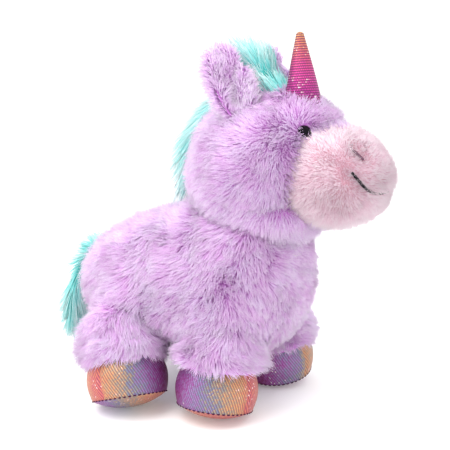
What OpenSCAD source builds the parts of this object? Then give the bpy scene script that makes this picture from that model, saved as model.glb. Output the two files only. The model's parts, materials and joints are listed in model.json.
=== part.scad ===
// Plush unicorn with a soft horn, a loose tail and four short legs with foil hooves.
// It stands on z = 0 and faces -Y, with its left side towards +X. Sizes are in millimetres.

/* [Fabric] */
// Thickness of the long-pile plush, backing and pile together
plush = 7.5; // [6:0.5:9]
// Thickness of the short-pile plush on the muzzle
short_plush = 5.5; // [4:0.5:7]
// Thickness of the foil fabric on the horn and the hooves
foil = 1.2; // [0.8:0.1:1.6]
// Thickness of the embroidery thread
thread = 1.6; // [1.2:0.1:2]
// Gap between forms that turn in each other
play = 0.6; // [0.4:0.1:0.9]
// Gap between the stuffing and the cover around it
slack = 0.3; // [0.2:0.1:0.5]

/* [Body] */
// Length of the body from chest to rump
body_length = 160; // [152:1:168]
// Width of the body at the chest
chest_width = 106; // [98:1:114]
// Width of the body at the hips
hip_width = 112; // [104:1:120]
// Height of the body at the chest
chest_height = 113; // [107:1:119]
// Height of the body at the rump
rump_height = 84; // [78:1:90]
// Height of the belly above the floor
belly_height = 28; // [24:1:32]
// Roundness of the chest: 2 is an egg, more is blunter
chest_bluntness = 3; // [2.5:0.1:3.4]
// Roundness of the rump
rump_bluntness = 2.3; // [2:0.1:2.8]
// Roundness of the body's cross-section: 2 is an ellipse, more is squarer
body_fullness = 2.3; // [2:0.1:2.8]

/* [Head] */
// Diameter of the head
head_size = 99; // [94:1:104]
// Height of the head's centre above the floor
head_height = 152; // [148:1:158]
// How far the head's centre lies in front of the body's middle
head_forward = 54; // [50:1:58]
// How far the brow swells out of the round head
brow = 4; // [0:0.5:6]
// How far each cheek swells out of the round head
cheek = 3; // [0:0.5:5]
// Width of the opening at the neck
neck_opening = 40; // [30:1:48]
// Thickness of the stuffing between head and body
neck_depth = 8; // [6:0.5:11]

/* [Muzzle] */
// Width of the muzzle at the nose
muzzle_width = 64; // [58:1:70]
// Height of the muzzle at the nose
muzzle_height = 56; // [52:1:62]
// How much wider and higher the muzzle's form is at its rear
muzzle_spread = 12; // [8:1:18]
// Distance from the head's centre to the muzzle's seam
muzzle_seam = 33; // [29:1:36]
// Length of the muzzle's full form, of which the seam cuts off the rear
muzzle_length = 68; // [62:1:74]
// Distance from the head's centre to the middle of the muzzle
muzzle_forward = 45; // [41:1:49]
// How far the muzzle points down, in degrees
muzzle_tilt = 2; // [0:1:8]
// Roundness of the muzzle's front
muzzle_bluntness = 2.2; // [2:0.1:2.6]
// Half the width of the mouth line
mouth_half = 25; // [18:1:27]
// Height of the mouth's middle against the muzzle's middle
mouth_level = -7; // [-12:1:-2]
// How far the mouth's corners rise
mouth_rise = 12; // [4:1:14]
// Length of each nostril's stitched crease
nostril_length = 6.5; // [5:0.5:9]
// Distance of each nostril from the middle
nostril_side = 18; // [15:0.5:21]
// Height of the nostrils against the muzzle's middle
nostril_level = 16.5; // [12:0.5:18]

/* [Eyes] */
// Diameter of each eye
eye_size = 9; // [7:0.5:12]
// How deep each eye sits in the pile
eye_sink = 3.5; // [2.5:0.25:4.5]
// Angle of each eye off the face's middle
eye_turn = 31; // [27:1:36]
// Angle of each eye above the head's centre
eye_rise = 30; // [27:1:34]
// Diameter of the eye's shank
shank = 3; // [2:0.25:4]
// Diameter of the locking washer
washer_size = 11; // [8:0.5:14]
// Thickness of the locking washer
washer_thick = 1.4; // [1:0.1:2]

/* [Ears] */
// Length of each ear from its root
ear_length = 42; // [36:1:48]
// Width of each ear
ear_width = 33; // [28:1:36]
// Thickness of each ear
ear_thick = 9; // [7:0.5:11]
// How far the ear's edges curl forward
ear_cup = 6; // [2:0.5:9]
// Diameter of the gathered root
ear_root = 13; // [11:0.5:15]
// Angle of each ear off the face's middle
ear_turn = 94; // [88:1:100]
// Angle of each ear above the head's centre
ear_rise = 50; // [46:1:56]
// How far each ear leans outwards
ear_splay = 15; // [8:1:22]
// How far each ear leans back
ear_lean = 18; // [12:1:24]
// How far each ear's hollow side faces outwards
ear_twist = 40; // [25:1:60]

/* [Horn] */
// Height of the horn above its base
horn_height = 38; // [32:1:44]
// Diameter of the horn at its base
horn_width = 21; // [18:0.5:24]
// How far the horn's sides bulge
horn_bulge = 1; // [0:0.25:2]
// Angle of the horn above the head's centre, at the front
horn_rise = 62; // [58:1:66]
// How far the horn leans back from upright
horn_lean = 4; // [0:1:8]
// How deep the horn's base sits in the plush
horn_sink = 2; // [1:0.5:4]

/* [Hair] */
// Width of the mane strip
mane_width = 22; // [18:1:26]
// Height of the mane above the plush
mane_height = 9; // [6:0.5:10]
// Where the mane starts, in degrees behind the crown
mane_start = 14; // [10:1:24]
// Where the mane ends, in degrees behind the crown
mane_end = 96; // [86:1:98]
// Height of the forelock
forelock_height = 31; // [24:1:38]
// Width of the forelock
forelock_width = 28; // [22:1:30]
// Depth of the forelock from front to back
forelock_depth = 15; // [12:1:17]
// How far the forelock's tip bends back
forelock_sweep = 15; // [8:1:20]
// How deep the mane and the forelock are sewn in
hair_root = 3; // [2:0.5:4]
// Length of the tail
tail_length = 76; // [64:1:84]
// Width of the tail
tail_width = 34; // [28:1:40]
// Thickness of the tail
tail_thick = 14; // [10:1:18]
// Diameter of the tail's gathered root
tail_root = 15; // [13:0.5:17]
// How far the tail's tip stands behind the rump
tail_sweep = 26; // [23:1:32]
// Where the tail starts, in degrees along the back
tail_place = 66; // [60:1:70]

/* [Legs] */
// Height of the hips above the floor
hip_height = 44; // [41:1:46]
// Distance of each front leg from the middle
front_leg_side = 33; // [31:0.5:37]
// How far the front legs stand in front of the body's middle
front_leg_forward = 41; // [37:1:45]
// How far the front legs spread outwards
front_leg_splay = 12; // [6:1:16]
// How far the front legs reach forward
front_leg_reach = 0; // [0:1:8]
// Distance of each rear leg from the middle
rear_leg_side = 52; // [48:0.5:55]
// How far the rear legs stand behind the body's middle
rear_leg_back = 22; // [18:1:26]
// How far the rear legs spread outwards
rear_leg_splay = 13; // [8:1:14]
// How far the rear legs reach forward
rear_leg_reach = 18; // [13:1:19]
// Diameter of the leg's round root in the body
leg_root = 54; // [50:1:58]
// How far the leg's plush swells over the root
leg_swell = 2; // [0:0.5:3]
// Length of the plush below the hip
leg_drop = 15; // [12:1:17]

/* [Hooves] */
// Diameter of the hoof at its top
hoof_top = 43; // [41:0.5:45]
// Diameter of the hoof at the sole's seam
hoof_base = 47; // [45:0.5:49]
// How far the hoof's panels bulge
hoof_bulge = 1; // [0:0.25:1.5]
// Thickness of the padded sole
sole_thick = 2.2; // [1.6:0.1:3]
// How deep the standing sole is pressed flat
sole_flat = 0.5; // [0.4:0.1:0.7]

/* [Hidden] */
$fn = 64;
SIDES = ["left", "right"];
ENDS = ["front", "rear"];
HEAD_NODES = [
    "head_cover", "head_stuffing", "muzzle_cover", "muzzle_stuffing",
    "mouth_stitching", "mane", "forelock", "horn_cover", "horn_stuffing"
];
PAIRED_NODES = ["eye", "eye_washer", "nostril_stitching", "ear_front_panel", "ear_back_panel"];
LEG_NODES = ["leg_cover", "leg_stuffing", "hoof_outer_panel", "hoof_inner_panel", "sole"];

// Colours
LAVENDER = [0.84, 0.71, 0.88];
PINK = [0.95, 0.84, 0.89];
TURQUOISE = [0.35, 0.85, 0.81];
FOIL = [0.78, 0.42, 0.70];
FIBRE = [0.96, 0.96, 0.94];
BLACK = [0.04, 0.04, 0.05];
GREY = [0.30, 0.28, 0.30];

// Facets of the lofted forms, as rings and sides
BODY_FACETS = [16, 24];
HEAD_FACETS = [14, 24];
MUZZLE_FACETS = [11, 22];
HAIR_FACETS = [10, 12];
EAR_ROOT_ROWS = 4;
EAR_ROWS = 7;
EAR_COLUMNS = 6;
THREAD_SIDES = 6;
MOUTH_STEPS = 12;
NOSTRIL_STEPS = 6;
MUZZLE_TRIES = 8;
ARC_STEPS = 10;
// A length that reaches past every piece
BEYOND = 400;
// The clearance below each leg socket for its swing: width of its bevelled rim, and lap into the ball
SOCKET_RIM = 5;
SOCKET_LAP = 8;
// The clearance around the horn for its swing: slope and lap into the ball
HORN_FLARE = 12;
HORN_LAP = 2;
// How far the washer's flat seat is cut into the plush
WASHER_SEAT = 0.6;
// How far the brow and the cheeks spread over the head, and where they sit
BROW_SPREAD = 52;
BROW_RISE = 45;
CHEEK_SPREAD = 32;
CHEEK_TURN = 62;
CHEEK_RISE = 12;
// Least thickness of an ear's edge, and where its leaf begins and ends
EAR_EDGE = 0.8;
EAR_LEAF_START = 0.17;
EAR_LEAF_END = 0.96;
// Where the ear's round root begins and ends, as angles from its middle
EAR_ROOT_FROM = -75;
EAR_ROOT_TO = 40;
// How full the hair forms are between root and tip
HAIR_FULLNESS = 0.6;
TUFT_START = 0.16;
// How much the nostril's crease slants and curls
NOSTRIL_SLANT = 92;
NOSTRIL_CURL = 0.22;
// How late the mouth's corners turn up, 2 being an even bow
MOUTH_CURVE = 4;

function mix(a, b, k) = a + (b - a) * k;
// Sine and cosine of a blunted circle, whose exponent replaces the circle's 2
function blunt_sin(angle, power) = sign(sin(angle)) * pow(abs(sin(angle)), 2 / power);
function blunt_cos(angle, power) = pow(max(cos(angle), 0), 2 / power);
// Unit direction from an angle off the face's middle and an angle above the horizon
function heading(turn, rise) = [sin(turn) * cos(rise), -cos(turn) * cos(rise), sin(rise)];
// Turns a point about the X axis
function pitched(p, angle) = [
    p.x,
    p.y * cos(angle) - p.z * sin(angle),
    p.y * sin(angle) + p.z * cos(angle)
];
// Points of an arc in a lathe profile, as radius and height
function arc(radius, from, to) = [
    for (i = [0:ARC_STEPS]) let (a = mix(from, to, i / ARC_STEPS)) [radius * cos(a), radius * sin(a)]
];

// Faces of a form with a pole at each end and rings between them
function form_faces(rows, sides) = let (last = (rows - 1) * sides + 1) concat(
    [for (j = [0:sides - 1]) [0, 1 + (j + 1) % sides, 1 + j]],
    [
        for (i = [0:rows - 3], j = [0:sides - 1])
            let (a = 1 + i * sides + j, b = 1 + i * sides + (j + 1) % sides)
            each [[a, b, a + sides], [b, b + sides, a + sides]]
    ],
    [
        for (j = [0:sides - 1])
            let (a = last - sides + j, b = last - sides + (j + 1) % sides)
            [last, a, b]
    ]
);
// Points of such a form, where at() gives the point at a share of its length and an angle
function pole(k, at) = (at(k, 0) + at(k, 180)) / 2;
function form_points(facets, at) = let (rows = facets[0], sides = facets[1]) concat(
    [pole(0, at)],
    [for (i = [1:rows - 1], j = [0:sides - 1]) at(i / rows, 360 * j / sides)],
    [pole(1, at)]
);
module form(facets, at) {
    polyhedron(form_points(facets, at), form_faces(facets[0], facets[1]));
}

// Body

function body_point(k, around, inset = 0) = let (
    along = 180 * k - 90,
    bluntness = along < 0 ? chest_bluntness : rump_bluntness,
    shift = blunt_sin(along, bluntness),
    ring = blunt_cos(along, bluntness),
    place = (shift + 1) / 2,
    half_width = mix(chest_width, hip_width, place) / 2,
    half_height = mix(chest_height, rump_height, place) / 2
) [
    (half_width - inset) * ring * blunt_sin(around + 90, body_fullness),
    (body_length / 2 - inset) * shift,
    belly_height + half_height + (half_height - inset) * ring * blunt_sin(around, body_fullness)
];
function body_at(inset) = function(k, around) body_point(k, around, inset);

// Head and muzzle

head_centre = [0, -head_forward, head_height];
head_r = head_size / 2;
// A smooth swelling around a direction, 1 in its middle and 0 past its spread
function swelling(d, middle, spread) = pow(max(0, (d * middle - cos(spread)) / (1 - cos(spread))), 2);
function head_radius(d) = let (half = [abs(d.x), d.y, d.z])
    head_r
    + brow * swelling(d, heading(0, BROW_RISE), BROW_SPREAD)
    + cheek * swelling(half, heading(CHEEK_TURN, CHEEK_RISE), CHEEK_SPREAD);
function head_at(inset) = function(k, around)
    let (d = heading(around, 90 - 180 * k)) head_centre + d * (head_radius(d) - inset);

function muzzle_at(inset) = function(k, around) let (
    along = 180 * k - 90,
    shift = blunt_sin(along, muzzle_bluntness),
    ring = blunt_cos(along, muzzle_bluntness),
    spread = muzzle_spread * (shift + 1) / 2
) [
    ((muzzle_width + spread) / 2 - inset) * ring * cos(around),
    (muzzle_length / 2 - inset) * shift - muzzle_forward,
    ((muzzle_height + spread) / 2 - inset) * ring * sin(around)
];
// Point of the muzzle's front over a place across and above its middle, found in a few tries
function muzzle_front(x, z, spread = 0, tries = MUZZLE_TRIES) = let (
    share = norm([2 * x / (muzzle_width + spread), 2 * z / (muzzle_height + spread)]),
    shift = -pow(1 - pow(min(share, 1), muzzle_bluntness), 1 / muzzle_bluntness)
) tries > 0
    ? muzzle_front(x, z, muzzle_spread * (shift + 1) / 2, tries - 1)
    : [x, muzzle_length / 2 * shift - muzzle_forward, z];

// A thread along points on the muzzle, with a ring of its tube at each point
function thread_ring(path, i) = let (
    last = len(path) - 1,
    before = path[max(i - 1, 0)],
    after = path[min(i + 1, last)],
    ahead = (after - before) / norm(after - before),
    outward = path[i] + [0, muzzle_forward, 0],
    across = cross(ahead, outward) / norm(cross(ahead, outward)),
    up = cross(across, ahead)
) [
    for (j = [0:THREAD_SIDES - 1]) let (a = 360 * j / THREAD_SIDES)
        path[i] + thread / 2 * (across * cos(a) + up * sin(a))
];
module thread_along(path) {
    rings = len(path);
    polyhedron(
        [for (i = [0:rings - 1]) each thread_ring(path, i)],
        concat(
            [[for (j = [THREAD_SIDES - 1:-1:0]) j]],
            [
                for (i = [0:rings - 2], j = [0:THREAD_SIDES - 1])
                    let (
                        a = i * THREAD_SIDES + j,
                        b = i * THREAD_SIDES + (j + 1) % THREAD_SIDES
                    )
                    each [[a, b, a + THREAD_SIDES], [b, b + THREAD_SIDES, a + THREAD_SIDES]]
            ],
            [[for (j = [0:THREAD_SIDES - 1]) (rings - 1) * THREAD_SIDES + j]]
        )
    );
}
mouth_path = [
    for (i = [0:MOUTH_STEPS]) let (share = 2 * i / MOUTH_STEPS - 1)
        muzzle_front(mouth_half * share, mouth_level + mouth_rise * pow(abs(share), MOUTH_CURVE))
];
nostril_path = [
    for (i = [0:NOSTRIL_STEPS])
        let (
            share = i / NOSTRIL_STEPS - 0.5,
            bend = NOSTRIL_CURL * (0.25 - pow(share, 2))
        )
        muzzle_front(
            nostril_side + nostril_length * (share * cos(NOSTRIL_SLANT) + bend * sin(NOSTRIL_SLANT)),
            nostril_level - nostril_length * (share * sin(NOSTRIL_SLANT) - bend * cos(NOSTRIL_SLANT))
        )
];

// Hair

// Width of a tuft along its length, from a gathered root to its tip
function tuft(k) = pow(sin(180 * mix(TUFT_START, 1, k)), HAIR_FULLNESS);
mane_at = function(k, around) let (
    angle = mix(mane_start, mane_end, k),
    full = pow(sin(180 * k), HAIR_FULLNESS),
    radius = head_r - hair_root + (mane_height + hair_root) / 2 * full * (1 + sin(around))
) head_centre + [mane_width / 2 * full * cos(around), radius * sin(angle), radius * cos(angle)];
forelock_at = function(k, around) [
    forelock_width / 2 * tuft(k) * cos(around),
    forelock_sweep * k * k - forelock_depth / 2 * tuft(k) * sin(around),
    mix(-hair_root, forelock_height, k)
];
tail_place_point = body_point(tail_place / 180 + 0.5, 90);
// The tail drops from its root in a bow, and its first ring already stands clear of the rump
tail_stand = body_length / 2 - tail_place_point.y;
tail_at = function(k, around) [
    tail_width / 2 * tuft(k) * cos(around),
    tail_stand * min(k * HAIR_FACETS[0], 1)
        + tail_sweep * (1 - pow(1 - k, 2))
        + tail_thick / 2 * tuft(k) * sin(around),
    -tail_length * k
];

// The part stands with the middle of its length at y = 0
nose_y = min([for (p = form_points(MUZZLE_FACETS, muzzle_at(0))) pitched(p, muzzle_tilt).y]) - head_forward;
tail_y = max([for (p = form_points(HAIR_FACETS, tail_at)) p.y]) + tail_place_point.y;
middle_y = (nose_y + tail_y) / 2;
module placed() {
    translate([0, -middle_y, 0]) children();
}
// Draws a left piece, or its mirror image on the right
module sided(side) {
    mirror([side == "right" ? 1 : 0, 0, 0]) children();
}
module both_sides() {
    for (side = SIDES) sided(side) children();
}

// Places

module at_head() {
    translate(head_centre) children();
}
module at_muzzle() {
    at_head() rotate([muzzle_tilt, 0, 0]) children();
}
// On the head's surface, with +Z pointing out of it
module on_head(turn, rise) {
    d = heading(turn, rise);
    translate(head_centre + d * head_radius(d)) rotate([0, 90 - rise, turn - 90]) children();
}
module at_eye() {
    on_head(eye_turn, eye_rise) children();
}
ear_spot = head_centre + heading(ear_turn, ear_rise) * head_radius(heading(ear_turn, ear_rise));
module at_ear() {
    translate(ear_spot) rotate([-ear_lean, ear_splay, ear_twist]) children();
}
// Height of the washer's seat against the plush's surface
washer_seat = WASHER_SEAT - plush;
horn_heading = heading(0, horn_rise);
horn_spot = head_centre + horn_heading * (head_radius(horn_heading) - horn_sink);
module at_horn() {
    translate(horn_spot) rotate([-horn_lean, 0, 0]) children();
}
module at_forelock() {
    translate(head_centre + [0, 0, head_radius([0, 0, 1])]) children();
}
module at_tail() {
    translate(tail_place_point) children();
}
// At a left leg's hip, with the leg along -Z
function hip(end) = end == "front"
    ? [front_leg_side, -front_leg_forward, hip_height]
    : [rear_leg_side, rear_leg_back, hip_height];
module at_hip(end) {
    reach = end == "front" ? front_leg_reach : rear_leg_reach;
    splay = end == "front" ? front_leg_splay : rear_leg_splay;
    translate(hip(end)) rotate([-reach, -splay, 0]) children();
}
// Everything on the muzzle's or the head's side of their seam
module ahead_of_seam() {
    intersection() {
        children();
        at_muzzle() translate([-BEYOND / 2, -BEYOND - muzzle_seam, -BEYOND / 2]) cube(BEYOND);
    }
}
module behind_seam(gap = 0) {
    intersection() {
        children();
        at_muzzle() translate([-BEYOND / 2, gap - muzzle_seam, -BEYOND / 2]) cube(BEYOND);
    }
}

// Cuts

neck_half_angle = asin(neck_opening / head_size);
// Sector of a ball below the head's centre, out to a radius
module neck_sector(radius, half_angle) {
    rotate_extrude() polygon(concat([[0, 0]], arc(radius, half_angle - 90, -90)));
}
// Pockets of head, neck, legs and tail in the body
module body_sockets(gap) {
    at_head() {
        sphere(head_r + gap);
        neck_sector(head_r + play + neck_depth + gap, neck_half_angle + asin(gap / head_r));
    }
    // Half a turn puts the seam of each ball on the body's side
    both_sides() for (end = ENDS) at_hip(end) rotate([0, 0, 180]) {
        socket_r = leg_root / 2 + gap;
        rim_r = socket_r + SOCKET_RIM;
        sphere(socket_r);
        cylinder(h = SOCKET_RIM + SOCKET_LAP, r1 = rim_r, r2 = socket_r - SOCKET_LAP);
        translate([0, 0, -BEYOND / 4]) cylinder(h = BEYOND / 4, r = rim_r);
    }
    at_tail() sphere(tail_root / 2 + gap);
}
// Pockets of eyes, ears, horn and sewn-in hair in the head
module head_sockets(gap) {
    both_sides() {
        at_eye() eye_pocket();
        at_ear() sphere(ear_root / 2 + gap);
    }
    at_horn() {
        socket_r = horn_width / 2 + gap;
        sphere(socket_r);
        translate([0, 0, -HORN_LAP]) cylinder(
            h = horn_height + HORN_LAP,
            r1 = socket_r - HORN_LAP * tan(HORN_FLARE),
            r2 = socket_r + horn_height * tan(HORN_FLARE)
        );
    }
    form(HAIR_FACETS, mane_at);
    at_forelock() form(HAIR_FACETS, forelock_at);
}
// Room for an eye's dome in the pile, its shank, and the washer behind the plush
module eye_pocket() {
    translate([0, 0, -eye_sink]) cylinder(h = BEYOND / 8, d = eye_size + 2 * slack);
    translate([0, 0, washer_seat]) cylinder(h = -washer_seat, d = shank);
    translate([0, 0, washer_seat - 2 * washer_thick - slack])
        cylinder(h = 2 * washer_thick + slack, d = washer_size + 2 * slack);
}

// Sub-parts

module body_cover() {
    color(LAVENDER) placed() difference() {
        form(BODY_FACETS, body_at(0));
        form(BODY_FACETS, body_at(plush));
        body_sockets(play);
    }
}

module body_stuffing() {
    color(FIBRE) placed() difference() {
        form(BODY_FACETS, body_at(plush + slack));
        body_sockets(play + slack);
    }
}

module neck_stuffing() {
    color(FIBRE) placed() at_head() difference() {
        neck_sector(head_r + play + neck_depth, neck_half_angle);
        sphere(head_r + play);
    }
}

module head_cover() {
    color(LAVENDER) placed() difference() {
        behind_seam() form(HEAD_FACETS, head_at(0));
        form(HEAD_FACETS, head_at(plush));
        head_sockets(play);
        at_head() translate([0, 0, -head_size]) cylinder(h = head_size, d = neck_opening);
    }
}

module head_stuffing() {
    color(FIBRE) placed() difference() {
        behind_seam(slack) form(HEAD_FACETS, head_at(plush + slack));
        head_sockets(play + slack);
    }
}

module muzzle_cover() {
    color(PINK) placed() difference() {
        ahead_of_seam() at_muzzle() form(MUZZLE_FACETS, muzzle_at(0));
        at_muzzle() {
            form(MUZZLE_FACETS, muzzle_at(short_plush));
            thread_along(mouth_path);
            both_sides() thread_along(nostril_path);
        }
        both_sides() at_eye() eye_pocket();
    }
}

module muzzle_stuffing() {
    color(FIBRE) placed() difference() {
        ahead_of_seam() at_muzzle() form(MUZZLE_FACETS, muzzle_at(short_plush + slack));
        both_sides() at_eye() eye_pocket();
    }
}

module mouth_stitching() {
    color(BLACK) placed() at_muzzle() thread_along(mouth_path);
}

module nostril_stitching(side) {
    color(GREY) placed() sided(side) at_muzzle() thread_along(nostril_path);
}

module eye(side) {
    color(BLACK) placed() sided(side) at_eye() translate([0, 0, -eye_sink]) {
        intersection() {
            sphere(d = eye_size);
            translate([-eye_size / 2, -eye_size / 2, 0]) cube(eye_size);
        }
        shank_length = 2 * washer_thick - washer_seat - eye_sink;
        translate([0, 0, -shank_length]) cylinder(h = shank_length, d = shank);
    }
}

module eye_washer(side) {
    color(FIBRE) placed() sided(side) at_eye()
        translate([0, 0, washer_seat - washer_thick]) difference() {
            cylinder(h = washer_thick, d = washer_size);
            translate([0, 0, -washer_thick]) cylinder(h = 3 * washer_thick, d = shank);
        }
}

module mane() {
    color(TURQUOISE) placed() form(HAIR_FACETS, mane_at);
}

module forelock() {
    color(TURQUOISE) placed() at_forelock() form(HAIR_FACETS, forelock_at);
}

// Sections of an ear as half width, half thickness, curl and height: first its round root, then its leaf
ear_sections = concat(
    [
        for (i = [0:EAR_ROOT_ROWS])
            let (angle = mix(EAR_ROOT_FROM, EAR_ROOT_TO, i / EAR_ROOT_ROWS), r = ear_root / 2)
            [r * cos(angle), r * cos(angle), 0, r * sin(angle)]
    ],
    [
        for (i = [0:EAR_ROWS])
            let (
                leaf = mix(EAR_LEAF_START, EAR_LEAF_END, i / EAR_ROWS),
                full = pow(sin(180 * leaf), HAIR_FULLNESS)
            )
            [ear_width / 2 * full, mix(EAR_EDGE, ear_thick / 2, full), ear_cup * full, ear_length * leaf]
    ]
);
// Half an ear in front of its middle surface, or behind it as the mirror image of an uncurled one
module ear_half(face) {
    curl = face == "front" ? 1 : -1;
    sides = 2 * (EAR_COLUMNS + 1);
    rows = len(ear_sections) - 1;
    points = [
        for (section = ear_sections, edge = [1, 0], i = [0:EAR_COLUMNS])
            let (
                u = (2 * edge - 1) * (2 * i / EAR_COLUMNS - 1),
                pad = edge * mix(EAR_EDGE, section[1], 1 - u * u)
            )
            [section[0] * u, -pad - curl * section[2] * (u * u - 0.5), section[3]]
    ];
    walls = [
        for (i = [0:rows - 1], j = [0:sides - 1])
            let (a = i * sides + j, b = i * sides + (j + 1) % sides)
            each [[a, a + sides, b], [b, a + sides, b + sides]]
    ];
    first = [for (j = [0:sides - 1]) j];
    last = [for (j = [sides - 1:-1:0]) rows * sides + j];
    mirror([0, face == "front" ? 0 : 1, 0]) polyhedron(points, concat([first], walls, [last]));
}

module ear_front_panel(side) {
    color(LAVENDER) placed() sided(side) at_ear() ear_half("front");
}

module ear_back_panel(side) {
    color(LAVENDER) placed() sided(side) at_ear() ear_half("back");
}

// Lathe profile of the horn: a round root below its base, bulged sides above it
function horn_side(inset) = [
    for (i = [0:ARC_STEPS]) let (k = i / ARC_STEPS)
        [
            max((horn_width / 2 - inset) * (1 - k) + horn_bulge * sin(180 * k), 0),
            (horn_height - 2 * inset) * k
        ]
];
module horn_form(inset) {
    rotate_extrude() polygon(concat(arc(horn_width / 2 - inset, -90, 0), horn_side(inset)));
}

module horn_cover() {
    color(FOIL) placed() at_horn() difference() {
        horn_form(0);
        horn_form(foil);
    }
}

module horn_stuffing() {
    color(FIBRE) placed() at_horn() horn_form(foil + slack);
}

module tail() {
    color(TURQUOISE) placed() at_tail() {
        sphere(d = tail_root);
        form(HAIR_FACETS, tail_at);
    }
}

// Legs and hooves, as lathe profiles about the leg's own axis

sole_r = hip_height + sole_flat;
seam_drop = sqrt(pow(sole_r, 2) - pow(hoof_base / 2, 2));
function leg_side(inset) = [
    for (i = [0:ARC_STEPS]) let (k = i / ARC_STEPS)
        [leg_root / 2 - inset + leg_swell * sin(180 * k), -leg_drop * k]
];
function hoof_side(inset) = [
    for (i = [0:ARC_STEPS]) let (k = i / ARC_STEPS)
        [mix(hoof_top, hoof_base, k) / 2 + hoof_bulge * sin(180 * k) - inset, mix(-leg_drop, -seam_drop, k)]
];
function sole_arc(radius) = arc(radius, -acos(sqrt(1 - pow(seam_drop / radius, 2))), -90);
leg_bore = leg_root / 2 - plush;
hoof_bore = hoof_top / 2 - foil;

module hoof_panel(end, side, turn) {
    color(FOIL) placed() sided(side) at_hip(end) rotate([0, 0, turn]) rotate_extrude(angle = 180)
        polygon(concat(hoof_side(0), [for (i = [ARC_STEPS:-1:0]) hoof_side(foil)[i]]));
}

module leg_cover(end, side) {
    color(LAVENDER) placed() sided(side) at_hip(end) rotate_extrude() polygon(concat(
        arc(leg_root / 2, 90, 0),
        leg_side(0),
        [[hoof_bore, -leg_drop]],
        arc(leg_bore, 0, 90)
    ));
}

module leg_stuffing(end, side) {
    color(FIBRE) placed() sided(side) at_hip(end) rotate_extrude() polygon(concat(
        arc(leg_bore - slack, 90, 0),
        hoof_side(foil + slack),
        sole_arc(sole_r - sole_thick - slack)
    ));
}

module sole(end, side) {
    inner = sole_arc(sole_r - sole_thick);
    color(FOIL) placed() sided(side) difference() {
        at_hip(end) rotate_extrude() polygon(concat(
            sole_arc(sole_r),
            [for (i = [ARC_STEPS:-1:0]) inner[i]]
        ));
        translate([-BEYOND / 2, -BEYOND / 2, -BEYOND]) cube(BEYOND);
    }
}

body_cover();
body_stuffing();
neck_stuffing();
tail();
head_cover();
head_stuffing();
muzzle_cover();
muzzle_stuffing();
mouth_stitching();
mane();
forelock();
horn_cover();
horn_stuffing();
for (side = SIDES) {
    eye(side);
    eye_washer(side);
    nostril_stitching(side);
    ear_front_panel(side);
    ear_back_panel(side);
}
for (end = ENDS, side = SIDES) {
    leg = str(end, "_", side);
    leg_cover(end, side);
    leg_stuffing(end, side);
    hoof_panel(end, side, -90);
    hoof_panel(end, side, 90);
    sole(end, side);
}
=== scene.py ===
# %% [markdown]
# # A plush unicorn
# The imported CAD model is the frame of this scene. Each piece below takes its place from it: the pivots
# of the joints give the centres of head, legs, ears, horn and tail, and the same few formulas that
# shaped the solids shape the sewn covers here. What CAD can't give is added on top: pile, long hair,
# foil fabric, stitches and light.

# %% Load the frame
import json
import math

import bmesh
import bpy
from mathutils import Euler, Matrix, Vector, noise


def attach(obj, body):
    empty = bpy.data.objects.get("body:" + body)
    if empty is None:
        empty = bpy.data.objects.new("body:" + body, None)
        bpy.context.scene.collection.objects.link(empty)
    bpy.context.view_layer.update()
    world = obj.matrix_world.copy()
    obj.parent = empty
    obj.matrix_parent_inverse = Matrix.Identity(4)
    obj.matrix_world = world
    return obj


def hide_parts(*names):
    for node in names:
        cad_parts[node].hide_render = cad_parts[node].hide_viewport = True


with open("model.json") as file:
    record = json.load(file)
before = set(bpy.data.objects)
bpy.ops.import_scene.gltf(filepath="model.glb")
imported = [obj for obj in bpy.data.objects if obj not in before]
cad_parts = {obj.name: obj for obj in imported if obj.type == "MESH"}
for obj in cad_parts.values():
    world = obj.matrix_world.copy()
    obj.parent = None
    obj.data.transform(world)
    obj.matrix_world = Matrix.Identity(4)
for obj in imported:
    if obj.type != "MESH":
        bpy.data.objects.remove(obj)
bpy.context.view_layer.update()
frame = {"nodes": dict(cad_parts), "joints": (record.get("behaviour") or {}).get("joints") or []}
scene = bpy.context.scene
MM = 0.001
SIDES = (("left", 1), ("right", -1))
LEGS = [(end, side) for end in ("front", "rear") for side in ("left", "right")]
pivots = {joint["name"]: Vector(joint["pos_m"]) for joint in frame["joints"]}
HEAD = pivots["neck_turn"]
HIPS = {leg: pivots["%s_%s_leg_swing" % leg] for leg in LEGS}
print("head at", [round(v, 4) for v in HEAD], "and", len(frame["nodes"]), "nodes")

# %% [markdown]
# ## Camera
# The picture was taken from the toy's right front, a little above it. A camera can be set by eye, but
# then the scene never quite lies over the picture. Here the angle, distance and lens were fitted to the
# toy's outline, so that both can be compared point by point.

# %% Camera
AZIMUTH, ELEVATION = math.radians(-58), math.radians(10)
DISTANCE = 540 * MM
LENS = 66.5
AIM = Vector((0, -11.3, 113)) * MM
away = Vector((
    math.sin(AZIMUTH) * math.cos(ELEVATION),
    -math.cos(AZIMUTH) * math.cos(ELEVATION),
    math.sin(ELEVATION),
))
camera = bpy.data.objects.new("camera", bpy.data.cameras.new("camera"))
camera.data.lens = LENS
camera.location = AIM + away * DISTANCE
camera.rotation_euler = (-away).to_track_quat("-Z", "Y").to_euler()
scene.collection.objects.link(camera)
scene.camera = camera
print("camera at", [round(v, 3) for v in camera.location])

# %% [markdown]
# ## Light
# The toy stands in a bright studio: white all round, one large soft light high on its right, a smaller
# one behind that, and a weak one high in front that opens the shadows of the far side. Small lamps
# would draw hard shadows into the pile, so all three are wide discs. The plain view transform keeps
# the pastel colours as they are mixed.

# %% Studio
WORLD_STRENGTH = 1.28
scene.view_settings.view_transform = "Standard"
world = bpy.data.worlds.new("studio")
scene.world = world
world.use_nodes = True
world.node_tree.nodes["Background"].inputs["Color"].default_value = (1, 1, 1, 1)
world.node_tree.nodes["Background"].inputs["Strength"].default_value = WORLD_STRENGTH


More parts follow.
